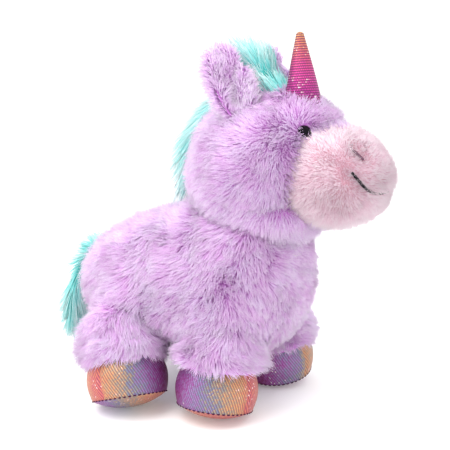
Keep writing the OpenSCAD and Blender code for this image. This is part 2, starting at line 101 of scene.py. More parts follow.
def soft_light(name, place, size, power):
    lamp = bpy.data.lights.new(name, "AREA")
    lamp.shape = "DISK"
    lamp.size = size
    lamp.energy = power
    held = bpy.data.objects.new(name, lamp)
    held.location = place
    held.rotation_euler = (AIM - held.location).to_track_quat("-Z", "Y").to_euler()
    scene.collection.objects.link(held)


soft_light("key", Vector((-0.8, 0.2, 1.5)), size=1.4, power=17)
soft_light("side", Vector((-1.1, 0.8, 0.9)), size=0.8, power=3)
soft_light("fill", Vector((0.5, -0.9, 1.6)), size=1.0, power=2.5)

# %% [markdown]
# ## Node helpers
# Finishes and pile are both built from nodes. Linking them by hand takes a line for each link, and a
# long sum can't be read any more. So `Net` adds a node in one call, and `Wire` stands for one output,
# which lets sums be written as plain expressions.

# %% Wires


def operator(operation, swapped=False):
    """A method for one sign of arithmetic; swapped when the wire stands on its right."""
    def method(wire, other):
        return wire.reckon(operation, *((other, wire) if swapped else (wire, other)))
    return method


class Wire:
    """A node's output that can be reckoned with."""

    def __init__(self, net, socket):
        self.net = net
        self.socket = socket

    def out(self, key):
        """Another output of the same node, by its name or number."""
        return Wire(self.net, self.socket.node.outputs[key])

    def reckon(self, operation, a, b):
        wires = [w for w in (a, b) if isinstance(w, Wire)]
        vector = any(w.socket.type in ("VECTOR", "RGBA") for w in wires)
        kind = "ShaderNodeVectorMath" if vector else "ShaderNodeMath"
        if vector:
            a, b = [w if isinstance(w, Wire) or hasattr(w, "__len__") else (w,) * 3 for w in (a, b)]
        return self.net.add(kind, {"operation": operation}, {0: a, 1: b})

    __add__, __radd__ = operator("ADD"), operator("ADD", swapped=True)
    __sub__, __rsub__ = operator("SUBTRACT"), operator("SUBTRACT", swapped=True)
    __mul__, __rmul__ = operator("MULTIPLY"), operator("MULTIPLY", swapped=True)
    __truediv__, __rtruediv__ = operator("DIVIDE"), operator("DIVIDE", swapped=True)


print("wires can be added, taken away, multiplied and divided")

# %% Nets


def fill_ramp(ramp, stops):
    while len(ramp.elements) < len(stops):
        ramp.elements.new(0.5)
    for element, (place, colour) in zip(ramp.elements, stops):
        element.position = place
        element.color = colour


class Net:
    """A node tree that grows one node at a time."""

    def __init__(self, tree):
        self.tree = tree

    def add(self, kind, settings=None, sockets=None):
        """Adds a node, sets it, then fills or links its sockets, and gives its first output."""
        node = self.tree.nodes.new(kind)
        for name, value in (settings or {}).items():
            if name == "stops":
                fill_ramp(node.color_ramp, value)
            else:
                setattr(node, name, value)
        for key, value in (sockets or {}).items():
            socket = node.inputs[key] if isinstance(key, int) else next(
                s for s in node.inputs if s.name == key and s.enabled
            )
            if isinstance(value, Wire):
                self.tree.links.new(value.socket, socket)
            else:
                socket.default_value = value
        outputs = [s for s in node.outputs if s.enabled]
        return Wire(self, outputs[0]) if outputs else node

    def mixed(self, share, a, b):
        """Colour a where share is 0, and b where it is 1."""
        settings = {"data_type": "RGBA", "clamp_factor": True}
        return self.add("ShaderNodeMix", settings, {0: share, 6: a, 7: b}).out(2)

    def smooth(self, value, low, high):
        """Rises from 0 to 1 while value goes from low to high."""
        settings = {"interpolation_type": "SMOOTHSTEP"}
        return self.add("ShaderNodeMapRange", settings, {"Value": value, "From Min": low, "From Max": high})

    def place(self):
        return self.add("ShaderNodeTexCoord").out("Object")

    def cloud(self, place, scale, detail, distortion=0.0):
        sockets = {"Vector": place, "Scale": scale, "Detail": detail, "Distortion": distortion}
        return self.add("ShaderNodeTexNoise", {}, sockets)

    def single(self, operation, value):
        """A sum on one value, such as its sine."""
        return self.add("ShaderNodeMath", {"operation": operation}, {0: value})

    def bump(self, height, strength, distance):
        return self.add("ShaderNodeBump", {}, {"Height": height, "Strength": strength, "Distance": distance})


print("nets add nodes to materials and to pile")

# %% [markdown]
# ## Colours and finishes
# A colour picked from a screen isn't the light that a shader mixes, so `paint` turns one into the
# other. A finish is a new material whose Principled sockets come from one small function each.

# %% Paint and finish
DARKEST = 10


def paint(red, green, blue):
    """A colour as a screen shows it, 0 to 255, turned into the light that a shader mixes."""
    light = [((v / 255 + 0.055) / 1.055) ** 2.4 if v > DARKEST else v / 3294 for v in (red, green, blue)]
    return (*light, 1)


def finish(name, make):
    """A new material; make(net) gives the sockets of its Principled shader."""
    material = bpy.data.materials.new(name)
    material.use_nodes = True
    net = Net(material.node_tree)
    shader = material.node_tree.nodes["Principled BSDF"]
    for key, value in make(net).items():
        if isinstance(value, Wire):
            net.tree.links.new(value.socket, shader.inputs[key])
        else:
            shader.inputs[key].default_value = value
    return material


print("mid grey on a screen is", round(paint(128, 128, 128)[0], 3), "of white light")

# %% [markdown]
# ## Forms
# Body, head and muzzle are stuffed bags. They could be sculpted, but then they would drift away from the
# solids. So each is a sphere whose rings are moved by the formula of its solid, stretched and blunted,
# with `inset` for how far the cloth lies under the tips of its pile.

# %% Shaping sums


def mix(a, b, k):
    return a + (b - a) * k


def clamp(value):
    return max(0, min(1, value))


def near(distance, reach):
    """1 at no distance, falling evenly to 0 at reach."""
    return max(0, 1 - distance / reach)


def bell(value, middle, width):
    return math.exp(-((value - middle) / width) ** 2)


def blunt_sin(angle, power):
    return math.copysign(abs(math.sin(angle)) ** (2 / power), math.sin(angle))


def blunt_cos(angle, power):
    return max(math.cos(angle), 0) ** (2 / power)


def heading(turn, rise):
    """The way that points turn degrees from the front and rise degrees up."""
    turn = math.radians(turn)
    rise = math.radians(rise)
    return Vector((math.sin(turn) * math.cos(rise), -math.cos(turn) * math.cos(rise), math.sin(rise)))


print("straight ahead is", tuple(heading(0, 0)))

# %% Body form
BODY_LENGTH, CHEST_WIDTH, HIP_WIDTH, CHEST_HEIGHT, RUMP_HEIGHT, BELLY = [
    v * MM for v in (160, 106, 112, 113, 84, 28)
]
CHEST_BLUNT, RUMP_BLUNT, BODY_FULL = 3, 2.3, 2.3
BODY_Y = HEAD.y + 54 * MM
FAR_OUTSIDE = 9


def body_halves(shift):
    place = (shift + 1) / 2
    return mix(CHEST_WIDTH, HIP_WIDTH, place) / 2, mix(CHEST_HEIGHT, RUMP_HEIGHT, place) / 2


def body_at(k, around, inset):
    along = math.pi * (k - 0.5)
    blunt = CHEST_BLUNT if along < 0 else RUMP_BLUNT
    shift, ring = blunt_sin(along, blunt), blunt_cos(along, blunt)
    wide, high = body_halves(shift)
    return Vector((
        (wide - inset) * ring * blunt_sin(around + math.pi / 2, BODY_FULL),
        BODY_Y + (BODY_LENGTH / 2 - inset) * shift,
        BELLY + high + (high - inset) * ring * blunt_sin(around, BODY_FULL),
    ))


def body_depth(p, inset):
    """Under 1 inside the body's form and over 1 outside it."""
    shift = (p.y - BODY_Y) / (BODY_LENGTH / 2 - inset)
    if abs(shift) >= 1:
        return FAR_OUTSIDE
    blunt = CHEST_BLUNT if shift < 0 else RUMP_BLUNT
    ring = (1 - abs(shift) ** blunt) ** (1 / blunt)
    wide, high = body_halves(shift)
    across = (abs(p.x) / (wide - inset)) ** BODY_FULL
    upward = (abs(p.z - BELLY - high) / (high - inset)) ** BODY_FULL
    return (across + upward) / ring ** BODY_FULL


print("body", round(BODY_LENGTH / MM), "mm long with its middle at y =", round(BODY_Y / MM, 1), "mm")

# %% Head form
HEAD_R, BROW, CHEEK = 49.5 * MM, 4 * MM, 3 * MM
BROW_PAD, ROLL, TUCK = 3 * MM, 2 * MM, 2.5 * MM


def swelling(d, middle, spread):
    edge = math.cos(math.radians(spread))
    return max(0, (d.dot(middle) - edge) / (1 - edge)) ** 2


def head_radius(d):
    half = Vector((abs(d.x), d.y, d.z))
    return HEAD_R + BROW * swelling(d, heading(0, 45), 52) + CHEEK * swelling(half, heading(62, 12), 32)


def jowl(d):
    """The loose cloth under the cheek: a tuck and a soft roll below it, as a share of their full size."""
    rise = math.degrees(math.asin(d.z))
    turn = math.degrees(math.atan2(abs(d.x), -d.y))
    return bell(turn, 48, 26) * bell(rise, -23, 3.5), bell(turn, 42, 30) * bell(rise, -33, 7)


def head_at(k, around, inset):
    ring = math.sin(math.pi * k)
    d = Vector((ring * math.sin(around), -ring * math.cos(around), math.cos(math.pi * k)))
    tuck, roll = jowl(d)
    full = BROW_PAD * swelling(d, heading(0, 50), 65) + ROLL * roll - TUCK * tuck
    return HEAD + d * (head_radius(d) - inset + full)


print("head", round(2 * HEAD_R / MM), "mm across")

# %% Muzzle form
MUZZLE_WIDTH, MUZZLE_HEIGHT, MUZZLE_SPREAD, MUZZLE_SEAM, MUZZLE_LENGTH, MUZZLE_FORWARD = [
    v * MM for v in (64, 56, 12, 33, 68, 45)
]
MUZZLE_BLUNT, MUZZLE_TILT = 2.2, math.radians(2)
to_muzzle = Matrix.Translation(HEAD) @ Matrix.Rotation(MUZZLE_TILT, 4, "X")
seam_point = to_muzzle @ Vector((0, -MUZZLE_SEAM, 0))
seam_normal = to_muzzle.to_3x3() @ Vector((0, -1, 0))


def past_seam(p):
    return (p - seam_point).dot(seam_normal)


def muzzle_at(k, around, inset):
    along = math.pi * (k - 0.5)
    shift, ring = blunt_sin(along, MUZZLE_BLUNT), blunt_cos(along, MUZZLE_BLUNT)
    spread = MUZZLE_SPREAD * (shift + 1) / 2
    return to_muzzle @ Vector((
        ((MUZZLE_WIDTH + spread) / 2 - inset) * ring * math.cos(around),
        (MUZZLE_LENGTH / 2 - inset) * shift - MUZZLE_FORWARD,
        ((MUZZLE_HEIGHT + spread) / 2 - inset) * ring * math.sin(around),
    ))


def muzzle_depth(p, inset):
    """Under 1 inside the muzzle's form and over 1 outside it."""
    q = to_muzzle.inverted() @ p
    shift = max(-1, min(1, (q.y + MUZZLE_FORWARD) / (MUZZLE_LENGTH / 2 - inset)))
    ring = (1 - abs(shift) ** MUZZLE_BLUNT) ** (1 / MUZZLE_BLUNT)
    spread = MUZZLE_SPREAD * (shift + 1) / 2
    wide, high = (MUZZLE_WIDTH + spread) / 2 - inset, (MUZZLE_HEIGHT + spread) / 2 - inset
    return math.hypot(q.x / wide, q.z / high) / max(ring, 1e-3)


print("muzzle seam at", [round(v / MM, 1) for v in seam_point], "mm")

# %% Moving a sphere onto a form


def in_order(bm):
    """The same mesh with its points and faces sorted by place.

    Operators don't keep one order from run to run, and pile that is scattered on a mesh depends on it.
    """
    def spot(v):
        place = v.co.z, v.co.y, v.co.x
        return [round(c, 5) for c in place], place

    points = sorted(bm.verts, key=spot)
    rank = {v: i for i, v in enumerate(points)}
    rings = []
    for face in bm.faces:
        ring = [rank[v] for v in face.verts]
        first = ring.index(min(ring))
        rings.append(ring[first:] + ring[:first])
    made = bmesh.new()
    points = [made.verts.new(v.co) for v in points]
    for ring in sorted(rings):
        made.faces.new([points[i] for i in ring])
    bm.free()
    return made


def rounded(at, inset, sides=96, rings=64):
    """A sphere whose rings are moved onto a form."""
    bm = bmesh.new()
    bmesh.ops.create_uvsphere(bm, u_segments=sides, v_segments=rings, radius=1)
    bm = in_order(bm)
    for v in bm.verts:
        k = math.acos(max(-1, min(1, -v.co.z))) / math.pi
        around = math.atan2(v.co.y, v.co.x)
        pole = math.hypot(v.co.x, v.co.y) < 1e-4
        v.co = (at(k, 0, inset) + at(k, math.pi, inset)) / 2 if pole else at(k, around, inset)
    bmesh.ops.recalc_face_normals(bm, faces=bm.faces)
    if bm.calc_volume(signed=True) < 0:
        bmesh.ops.reverse_faces(bm, faces=bm.faces)
    return bm


def trimmed(bm, point, normal):
    """Cuts a closed form with a plane, drops what lies beyond it and closes the cut."""
    everything = bm.verts[:] + bm.edges[:] + bm.faces[:]
    cut = bmesh.ops.bisect_plane(bm, geom=everything, plane_co=point, plane_no=normal, clear_outer=True)
    rim = [e for e in cut["geom_cut"] if isinstance(e, bmesh.types.BMEdge)]
    bmesh.ops.contextual_create(bm, geom=rim)
    return bm


def lathed(profile, steps=48):
    """Spins a profile of (radius, height) points about Z."""
    bm = bmesh.new()
    points = [bm.verts.new((r, 0, z)) for r, z in profile]
    edges = [bm.edges.new(pair) for pair in zip(points, points[1:])]
    bmesh.ops.spin(
        bm, geom=points + edges, cent=(0, 0, 0), axis=(0, 0, 1), angle=math.tau, steps=steps, use_merge=True
    )
    bmesh.ops.remove_doubles(bm, verts=bm.verts, dist=1e-6)
    bm = in_order(bm)
    bmesh.ops.recalc_face_normals(bm, faces=bm.faces)
    return bm


print("forms are rounded, trimmed or lathed, with points in a fixed order")

# %% [markdown]
# ## Pieces
# A finished piece sits at the origin with its place in its mesh, rides on a body of the frame and
# hides the nodes it stands for. These helpers do that for all of them, so no piece can miss a step.

# %% Making and joining pieces


def thing(name, bm, material=None):
    mesh = bpy.data.meshes.new(name)
    bm.to_mesh(mesh)
    bm.free()
    for face in mesh.polygons:
        face.use_smooth = True
    if material:
        mesh.materials.append(material)
    made = bpy.data.objects.new(name, mesh)
    scene.collection.objects.link(made)
    return made


def settled(piece):
    """The piece with its modifiers worked into its mesh."""
    graph = bpy.context.evaluated_depsgraph_get()
    mesh = bpy.data.meshes.new_from_object(piece.evaluated_get(graph))
    piece.modifiers.clear()
    piece.data = mesh
    return piece


def carved(piece, cutters):
    """The piece less the space of some closed shapes."""
    for cutter in cutters:
        cut = piece.modifiers.new("cut", "BOOLEAN")
        cut.operation = "DIFFERENCE"
        cut.solver = "EXACT"
        cut.object = cutter
    settled(piece)
    for cutter in cutters:
        bpy.data.objects.remove(cutter)
    return piece


def ball(centre, radius):
    bm = bmesh.new()
    spot = Matrix.Translation(centre)
    bmesh.ops.create_uvsphere(bm, u_segments=48, v_segments=32, radius=radius, matrix=spot)
    return thing("ball", in_order(bm))


def merged_copy(node):
    """A CAD node's loose triangles, copied and joined."""
    bm = bmesh.new()
    bm.from_mesh(frame["nodes"][node].data)
    bmesh.ops.remove_doubles(bm, verts=bm.verts, dist=1e-6)
    return bm


def sewn(piece, body, slot, *nodes, fill=None):
    """Gives a piece its body and hides its nodes; its slot is not used."""
    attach(piece, body)
    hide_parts(*nodes)
    return piece


# %% [markdown]
# ## Plush finishes
# The colour of the pile is painted shade and light: dark and rich at the roots, where light is caught
# between the fibres, and pale at the tips, where most light falls. Light scattered inside the strands would
# give that too, but slowly and with much noise. Here each strand carries how far along it a point lies and
# a tone of its own, and the colour reads both. The cloth below is a fine knit that shows only where the
# pile parts.

# %% Plush and its cloth


def plush(name, deep, middle, tip, cool, warm, rough=0.8):
    """Pile whose colour runs from painted shade at its root to painted light at its tip; cool and warm tint
    whole strands.
    """
    def make(net):
        along = net.add("ShaderNodeAttribute", {"attribute_name": "along"}).out("Fac")
        tone = net.add("ShaderNodeAttribute", {"attribute_name": "tone"}).out("Fac")
        # Painted shade at the roots, rising through the middle colour to painted light at the tips.
        lower = net.mixed(net.smooth(along, 0.0, 0.55), deep, middle)
        strand = net.mixed(net.smooth(along, 0.45, 1.0), lower, tip)
        tinted = net.mixed(net.smooth(tone, 0.55, 1.0) * 0.6, strand, cool)
        return {
            "Base Color": net.mixed(net.smooth(1 - tone, 0.5, 1.0) * 0.6, tinted, warm),
            "Roughness": rough,
            "Sheen Weight": 0.25,
            "Sheen Roughness": 0.4,
            "Specular IOR Level": 0.2,
        }
    return finish(name, make)


def backing(name, colour, darker):
    """The knitted cloth that pile grows from: fine rows of loops, seen only between the fibres."""
    def make(net):
        place = net.place()
        loops = net.add("ShaderNodeTexWave", {}, {"Vector": place, "Scale": 300.0, "Distortion": 4.0})
        return {
            "Base Color": net.mixed(net.cloud(place, 90.0, 3.0), darker, colour),
            "Roughness": 0.9,
            "Normal": net.bump(loops.out("Fac"), 0.3, 0.0004),
        }
    return finish(name, make)


print("plush runs from root to tip")

# %% Plush colours
# In each pile below, the first colour is the painted shade of its roots and the third the painted light of
# its tips.
lavender = plush(
    "lavender_pile", paint(212, 112, 218), paint(231, 184, 239), paint(244, 228, 249),
    cool=paint(237, 218, 249), warm=paint(231, 172, 234),
)
# The ears' pile is a lighter copy of the lavender pile: painted light, so that the ears look more brightly
# lit.
lightened_ear_lavender = plush(
    "ear_pile", paint(216, 132, 224), paint(237, 204, 244), paint(250, 242, 252),
    cool=paint(242, 228, 251), warm=paint(234, 188, 238),
)
pink = plush(
    "pink_pile", paint(230, 172, 204), paint(243, 212, 226), paint(250, 233, 240),
    cool=paint(246, 230, 238), warm=paint(240, 198, 216),
)
turquoise = plush(
    "turquoise_pile", paint(30, 190, 186), paint(146, 230, 228), paint(238, 252, 252),
    cool=paint(232, 250, 250), warm=paint(96, 218, 212), rough=0.6,
)
lavender_cloth = backing("lavender_cloth", paint(220, 146, 226), paint(206, 124, 214))
pink_cloth = backing("pink_cloth", paint(240, 190, 204), paint(228, 168, 186))
turquoise_cloth = backing("turquoise_cloth", paint(60, 200, 190), paint(0, 160, 152))
print("plush finishes:", [m.name for m in (lavender, lightened_ear_lavender, pink, turquoise)])

# %% [markdown]
# ## Pile
# The coat of the toy is a deep pile of fine fibres. Blender's own hair would draw it, but hair curves
# don't leave the program as meshes. So a strand is a thin three-sided spindle, and geometry nodes scatter
# it over a cloth, lean it the way the pile is brushed, pull the tips of neighbours together into wisps
# and bend them. The result is made a plain mesh, so the pile is real geometry in every view. A map
# gives each strand a place by its tone and length, because its colour depends on nothing else.

# %% One strand


def strand_shape(name, rings, widest):
    """A closed three-sided wisp with pointed ends, `rings` joints and its full width at `widest`."""
    bm = bmesh.new()
    bmesh.ops.create_uvsphere(bm, u_segments=3, v_segments=rings + 1, radius=1)
    bm = in_order(bm)
    for v in bm.verts:
        k = math.acos(max(-1, min(1, -v.co.z))) / math.pi
        turn = math.atan2(v.co.y, v.co.x)
        up = k ** (math.log(widest) / math.log(0.5)) if rings == 1 else k
        full = 0 if k < 0.01 or k > 0.99 else 0.5 * min(1, (1 - up) / (1 - widest)) ** 0.8
        v.co = (full * math.cos(turn), full * math.sin(turn), up)
    bmesh.ops.triangulate(bm, faces=bm.faces)
    bmesh.ops.recalc_face_normals(bm, faces=bm.faces)
    shape = thing(name, bm)
    along = shape.data.attributes.new("along", "FLOAT", "POINT")
    along.data.foreach_set("value", [v.co.z for v in shape.data.vertices])
    side = shape.data.attributes.new("side", "FLOAT", "POINT")
    side.data.foreach_set("value", [math.atan2(v.co.y, v.co.x) / math.tau % 1 for v in shape.data.vertices])
    shape.hide_render = True
    shape.hide_viewport = True
    return shape


SHORT_STRAND = strand_shape("short_strand", rings=1, widest=0.4)
LONG_STRAND = strand_shape("long_strand", rings=4, widest=0.3)
print("strands of", [len(s.data.polygons) for s in (SHORT_STRAND, LONG_STRAND)], "triangles")

# %% [markdown]
# A cloth says for itself where its pile grows, how tall it stands and which way it is combed. Weight
# painting would do that by hand. Here three numbers are kept at each of its points, worked out by small
# rules such as "not under the horn" or "shorter on the belly".

# %% Marks on a cloth


def kept(skin, name, kind):
    """A fresh set of numbers at the points of a cloth."""
    if name in skin.data.attributes:
        skin.data.attributes.remove(skin.data.attributes[name])
    return skin.data.attributes.new(name, kind, "POINT").data


def mark(skin, name, rule):
    """Keeps a number at each point of a cloth, from rule(point, normal)."""
    values = [float(rule(v.co, v.normal)) for v in skin.data.vertices]
    kept(skin, name, "FLOAT").foreach_set("value", values)


def comb(skin, flow):
    """Keeps the way that the pile is combed at each point of a cloth."""
    ways = [c for v in skin.data.vertices for c in flow(v.co, v.normal)]
    kept(skin, "flow", "FLOAT_VECTOR").foreach_set("vector", ways)


print("cloths keep the marks: pile, tall and flow")

# %% Pile from nodes
TONE_PATCH = 18
MAP_RIM = 0.03


def pile_tree(name, per_mm2, length, width, stand=1.0, lean=1.0, swirl=24, ruffle=0.25, clump=0.65, wisp=5,
              curl=0.3, sag=0.1, spread=0.3, strand=SHORT_STRAND, seed=1):
    """The nodes that turn a marked cloth into its pile. Lengths are in millimetres.

    stand lifts the pile off the cloth, lean and ruffle disturb it, clump draws the tips in a wisp
    together, and sag and curl bend them.
    """
    tree = bpy.data.node_groups.new(name, "GeometryNodeTree")
    tree.interface.new_socket("Geometry", in_out="INPUT", socket_type="NodeSocketGeometry")
    tree.interface.new_socket("Geometry", in_out="OUTPUT", socket_type="NodeSocketGeometry")
    net = Net(tree)

    def chance(low, high, number, kind="FLOAT"):
        sockets = {"Min": low, "Max": high, "Seed": seed * 31 + number}
        return net.add("FunctionNodeRandomValue", {"data_type": kind}, sockets)

    def named(attribute, kind="FLOAT"):
        return net.add("GeometryNodeInputNamedAttribute", {"data_type": kind}, {"Name": attribute})

    def keep(geometry, attribute, value, kind="FLOAT", domain="POINT"):
        sockets = {"Geometry": geometry, "Name": attribute, "Value": value}
        return net.add("GeometryNodeStoreNamedAttribute", {"data_type": kind, "domain": domain}, sockets)

    def swirls(size, detail, output):
        return net.cloud(place, 1000 / size, detail).out(output)

    scattered = net.add("GeometryNodeDistributePointsOnFaces", {"distribute_method": "RANDOM"}, {
        "Mesh": net.add("NodeGroupInput"), "Density": named("pile") * (per_mm2 * 1e6), "Seed": seed,
    })
    normal = scattered.out("Normal")
    place = net.add("GeometryNodeInputPosition")
    brushed = (swirls(swirl, 1.0, "Color") - (0.5, 0.5, 0.5)) * 4.0
    dot = net.add("ShaderNodeVectorMath", {"operation": "DOT_PRODUCT"}, {0: brushed, 1: normal}).out("Value")
    brushed = brushed - normal * dot
    chaos = chance((-1, -1, -1), (1, 1, 1), 1, "FLOAT_VECTOR")
    way = normal * stand + named("flow", "FLOAT_VECTOR") + brushed * lean + chaos * ruffle

    lock = net.add("ShaderNodeTexVoronoi", {}, {"Vector": place, "Scale": 1000 / wisp})
    cast = net.add("ShaderNodeSeparateXYZ", {}, {"Vector": lock.out("Color")})
    wave = swirls(wisp, 0.0, "Color") - (0.5, 0.5, 0.5)
    droop = (0, 0, -sag * length * MM)
    bend = (lock.out("Position") - place) * clump + wave * (curl * length * MM) + droop
    patches = (swirls(TONE_PATCH, 2.0, "Fac") - 0.5) * 1.6
    tone = net.add("ShaderNodeClamp", {}, {"Value": patches + (cast - 0.5) * 0.5 + chance(0.25, 0.75, 2)})
    rooted = keep(scattered.out("Points"), "tone", tone)
    rooted = keep(rooted, "bend", bend, "FLOAT_VECTOR")
    rooted = keep(rooted, "cloth_normal", normal, "FLOAT_VECTOR")

    turned = net.add("FunctionNodeAlignRotationToVector", {"axis": "Z"}, {
        "Rotation": chance((0, 0, 0), (0, 0, math.tau), 3, "FLOAT_VECTOR"), "Vector": way,
    })
    size = chance(length * MM * (1 - spread), length * MM * (1 + spread), 4) * named("tall")
    thick = chance(width * MM * 0.7, width * MM * 1.2, 5)
    planted = net.add("GeometryNodeInstanceOnPoints", {}, {
        "Points": rooted,
        "Instance": net.add("GeometryNodeObjectInfo", {}, {"Object": strand}).out("Geometry"),
        "Rotation": turned,
        "Scale": net.add("ShaderNodeCombineXYZ", {}, {"X": thick, "Y": thick, "Z": size}),
    })
    real = net.add("GeometryNodeRealizeInstances", {}, {"Geometry": planted})
    along = named("along")
    bent = net.add("GeometryNodeSetPosition", {}, {
        "Geometry": real, "Offset": named("bend", "FLOAT_VECTOR") * (along * along),
    })
    across = named("tone") * 0.9 + named("side") * MAP_RIM + MAP_RIM
    flat = net.add("ShaderNodeCombineXYZ", {}, {"X": across, "Y": along * (1 - 2 * MAP_RIM) + MAP_RIM})
    mapped = keep(bent, "OFBake", flat, "FLOAT2", "CORNER")
    end = tree.nodes.new("NodeGroupOutput")
    tree.links.new(mapped.socket, end.inputs[0])
    return tree


print("pile nodes are built for each cloth")

# %% [markdown]
# Lit by its own sides, each strand would glitter like wire. Lit by the normal of the cloth below it,
# the coat is soft, but strands that are seen end on turn grey. So the shading normal is a mix of both,
# and it leans more to the strand where many are seen end on, as on the ears.

# %% Growing pile
STRAND_SHARE = 0.35
SPENT = ("bend", "side", "pile", "tall", "flow", "cloth_normal")


def softened(pile, own_share):
    """Sets normals that lie between those of the cloth and those of the strands."""
    cloth = [0.0] * (3 * len(pile.data.vertices))
    pile.data.attributes["cloth_normal"].data.foreach_get("vector", cloth)
    own = [0.0] * len(cloth)
    pile.data.vertex_normals.foreach_get("vector", own)
    soft = [mix(a, b, own_share) for a, b in zip(cloth, own)]
    return list(zip(soft[0::3], soft[1::3], soft[2::3]))


def grow(name, skin, material, place, where, tall, flow, per_mm2, length, width,
         own_share=STRAND_SHARE, **ways):
    """Pile on a cloth, sewn to a place: a body, a slot and nodes.

    Of a point and its normal, where gives the share of full density, tall the height and flow the combing.
    """
    mark(skin, "pile", where)
    mark(skin, "tall", tall)
    comb(skin, flow)
    pile = bpy.data.objects.new(name, skin.data.copy())
    scene.collection.objects.link(pile)
    pile.modifiers.new("pile", "NODES").node_group = pile_tree(name, per_mm2, length, width, **ways)
    settled(pile)
    normals = softened(pile, own_share)
    for spent in SPENT:
        if spent in pile.data.attributes:
            pile.data.attributes.remove(pile.data.attributes[spent])
    pile.data.materials.clear()
    pile.data.materials.append(material)
    pile.data.shade_smooth()
    pile.data.normals_split_custom_set_from_vertices(normals)
    sewn(pile, *place)
    print(name, len(pile.data.polygons), "triangles")


print("strands keep", STRAND_SHARE, "of their own normals")

# %% [markdown]
# ## Body
# The body is one stuffed bag, full at the chest and lower at the rump. A plain rounded form would meet
# head and legs in sharp creases, so its cloth is raised in soft fillets there, and hollowed where head
# and legs are sewn in. Its pile is combed down and back, and made in four pieces to keep each one light.

# %% Body cloth
LEG_ROOT, CLOTH_DEPTH, SEAM = 27 * MM, 5 * MM, 0.5 * MM
FILLET, COLLAR = 36 * MM, 28 * MM
HIP_REACH = {"front": 19 * MM, "rear": 28 * MM}
leg_skin_r = LEG_ROOT - CLOTH_DEPTH
head_skin_r = HEAD_R - CLOTH_DEPTH
bm = rounded(body_at, CLOTH_DEPTH)
bm.normal_update()
for v in bm.verts:
    high = clamp((v.co.z - 34 * MM) / (18 * MM))
    hips = 0
    for leg in LEGS:
        off_root = abs((v.co - HIPS[leg]).length - leg_skin_r)
        hips += bell(v.co.y, HIPS[leg].y, HIP_REACH[leg[0]]) * near(off_root, FILLET) ** 2
    behind = clamp((v.co.y - HEAD.y + 22 * MM) / (20 * MM))
    neck = behind * near(abs((v.co - HEAD).length - HEAD_R + CLOTH_DEPTH), COLLAR) ** 2
    v.co += v.normal * (FILLET * high * hips + COLLAR * neck) / 4
body_skin = thing("body_cloth", bm, lavender_cloth)
carved(body_skin, [ball(HEAD, head_skin_r + SEAM)] + [ball(HIPS[leg], leg_skin_r + SEAM) for leg in LEGS])
sewn(body_skin, "torso", "lavender_plush", "body_cover", fill=0.9)
print("body cloth:", len(body_skin.data.polygons), "faces")

# %% Body pile
WAIST = BODY_Y - 14 * MM
PARTING = 2 * MM


def on_body(p, n):
    clear = min((p - HIPS[leg]).length for leg in LEGS) > leg_skin_r + PARTING
    return clear and (p - HEAD).length > head_skin_r + PARTING


def body_tall(p, n):
    """Shorter on the belly and on the chest."""
    return 1 - 0.4 * max(0, -n.z) - 0.3 * max(0, -n.y)


def coat(p, n):
    return Vector((0, 0.15, -0.55))


for number, (name, part) in enumerate({
    "body_pile_front_left": lambda p: p.x >= 0 and p.y < WAIST,
    "body_pile_front_right": lambda p: p.x < 0 and p.y < WAIST,
    "body_pile_rear_left": lambda p: p.x >= 0 and p.y >= WAIST,
    "body_pile_rear_right": lambda p: p.x < 0 and p.y >= WAIST,
}.items()):
    grow(
        name, body_skin, lavender, ("torso", "lavender_plush", "body_cover"),
        lambda p, n: on_body(p, n) and part(p), body_tall, coat,
        per_mm2=2.7, length=9.5, width=0.46, lean=0.75, clump=0.55, wisp=4.5, seed=11 + number,
    )

# %% [markdown]
# ## Head
# The head is a ball with a fuller brow and cheeks, and it stops at the muzzle's seam. Its pile is combed
# back from the face and down the sides. It keeps off the eyes' upper inner half, so that they show as
# in the picture, and off the horn's root, and it parts in the tuck under the cheek.

# %% Head cloth
BEHIND_SEAM = 8 * MM
bm = rounded(head_at, CLOTH_DEPTH, 128, 96)
trimmed(bm, seam_point + seam_normal * BEHIND_SEAM, seam_normal)
head_skin = thing("head_cloth", bm, lavender_cloth)
sewn(head_skin, "head", "lavender_plush", "head_cover", fill=0.95)
print("head cloth:", len(head_skin.data.polygons), "faces")

# %% Head pile
EYES = [HEAD + heading(turn, 30) * head_radius(heading(31, 30)) for turn in (31, -31)]
HORN_ROOT = pivots["horn_bend"]


def nearest_eye(p):
    return min(EYES, key=lambda eye: (p - eye).length)


def from_eyes(p):
    return (p - nearest_eye(p)).length


def from_horn(p):
    return (p - HORN_ROOT).length


def on_head(p, n):
    eye = nearest_eye(p)
    shift = Vector((-math.copysign(2.4, eye.x), -1.4, 1.2)) * MM
    clear = (p - eye - shift).length > 5.3 * MM and muzzle_depth(p, 1 * MM) > 1
    parted = jowl((p - HEAD).normalized())[0] > 0.96
    return clear and not parted and body_depth(p, 14 * MM) > 1 and from_horn(p) > 10.5 * MM


def head_tall(p, n):
    """Shorter round the horn and in the tuck under the cheek."""
    at_horn = max(0.75, min(1, (from_horn(p) - 6 * MM) / (16 * MM)))
    return at_horn * (1 - 0.3 * jowl((p - HEAD).normalized())[0])


def over_head(p, n):
    """Combed back from the face and down the sides, and a little over the outer half of the eyes."""
    front = clamp(1 + past_seam(p) / (22 * MM))
    eye = nearest_eye(p)
    outward = Vector((eye.x, 0, 0)).normalized() + Vector((0, 0.6, -0.2))
    behind = max(0, (p - eye).normalized().dot(outward))
    towards = (eye - p).normalized() * 0.2 * behind * near((p - eye).length, 10 * MM)
    return Vector((0, 0.25, -0.5)).lerp(Vector((0, 0.1, 0.1)), front) + towards


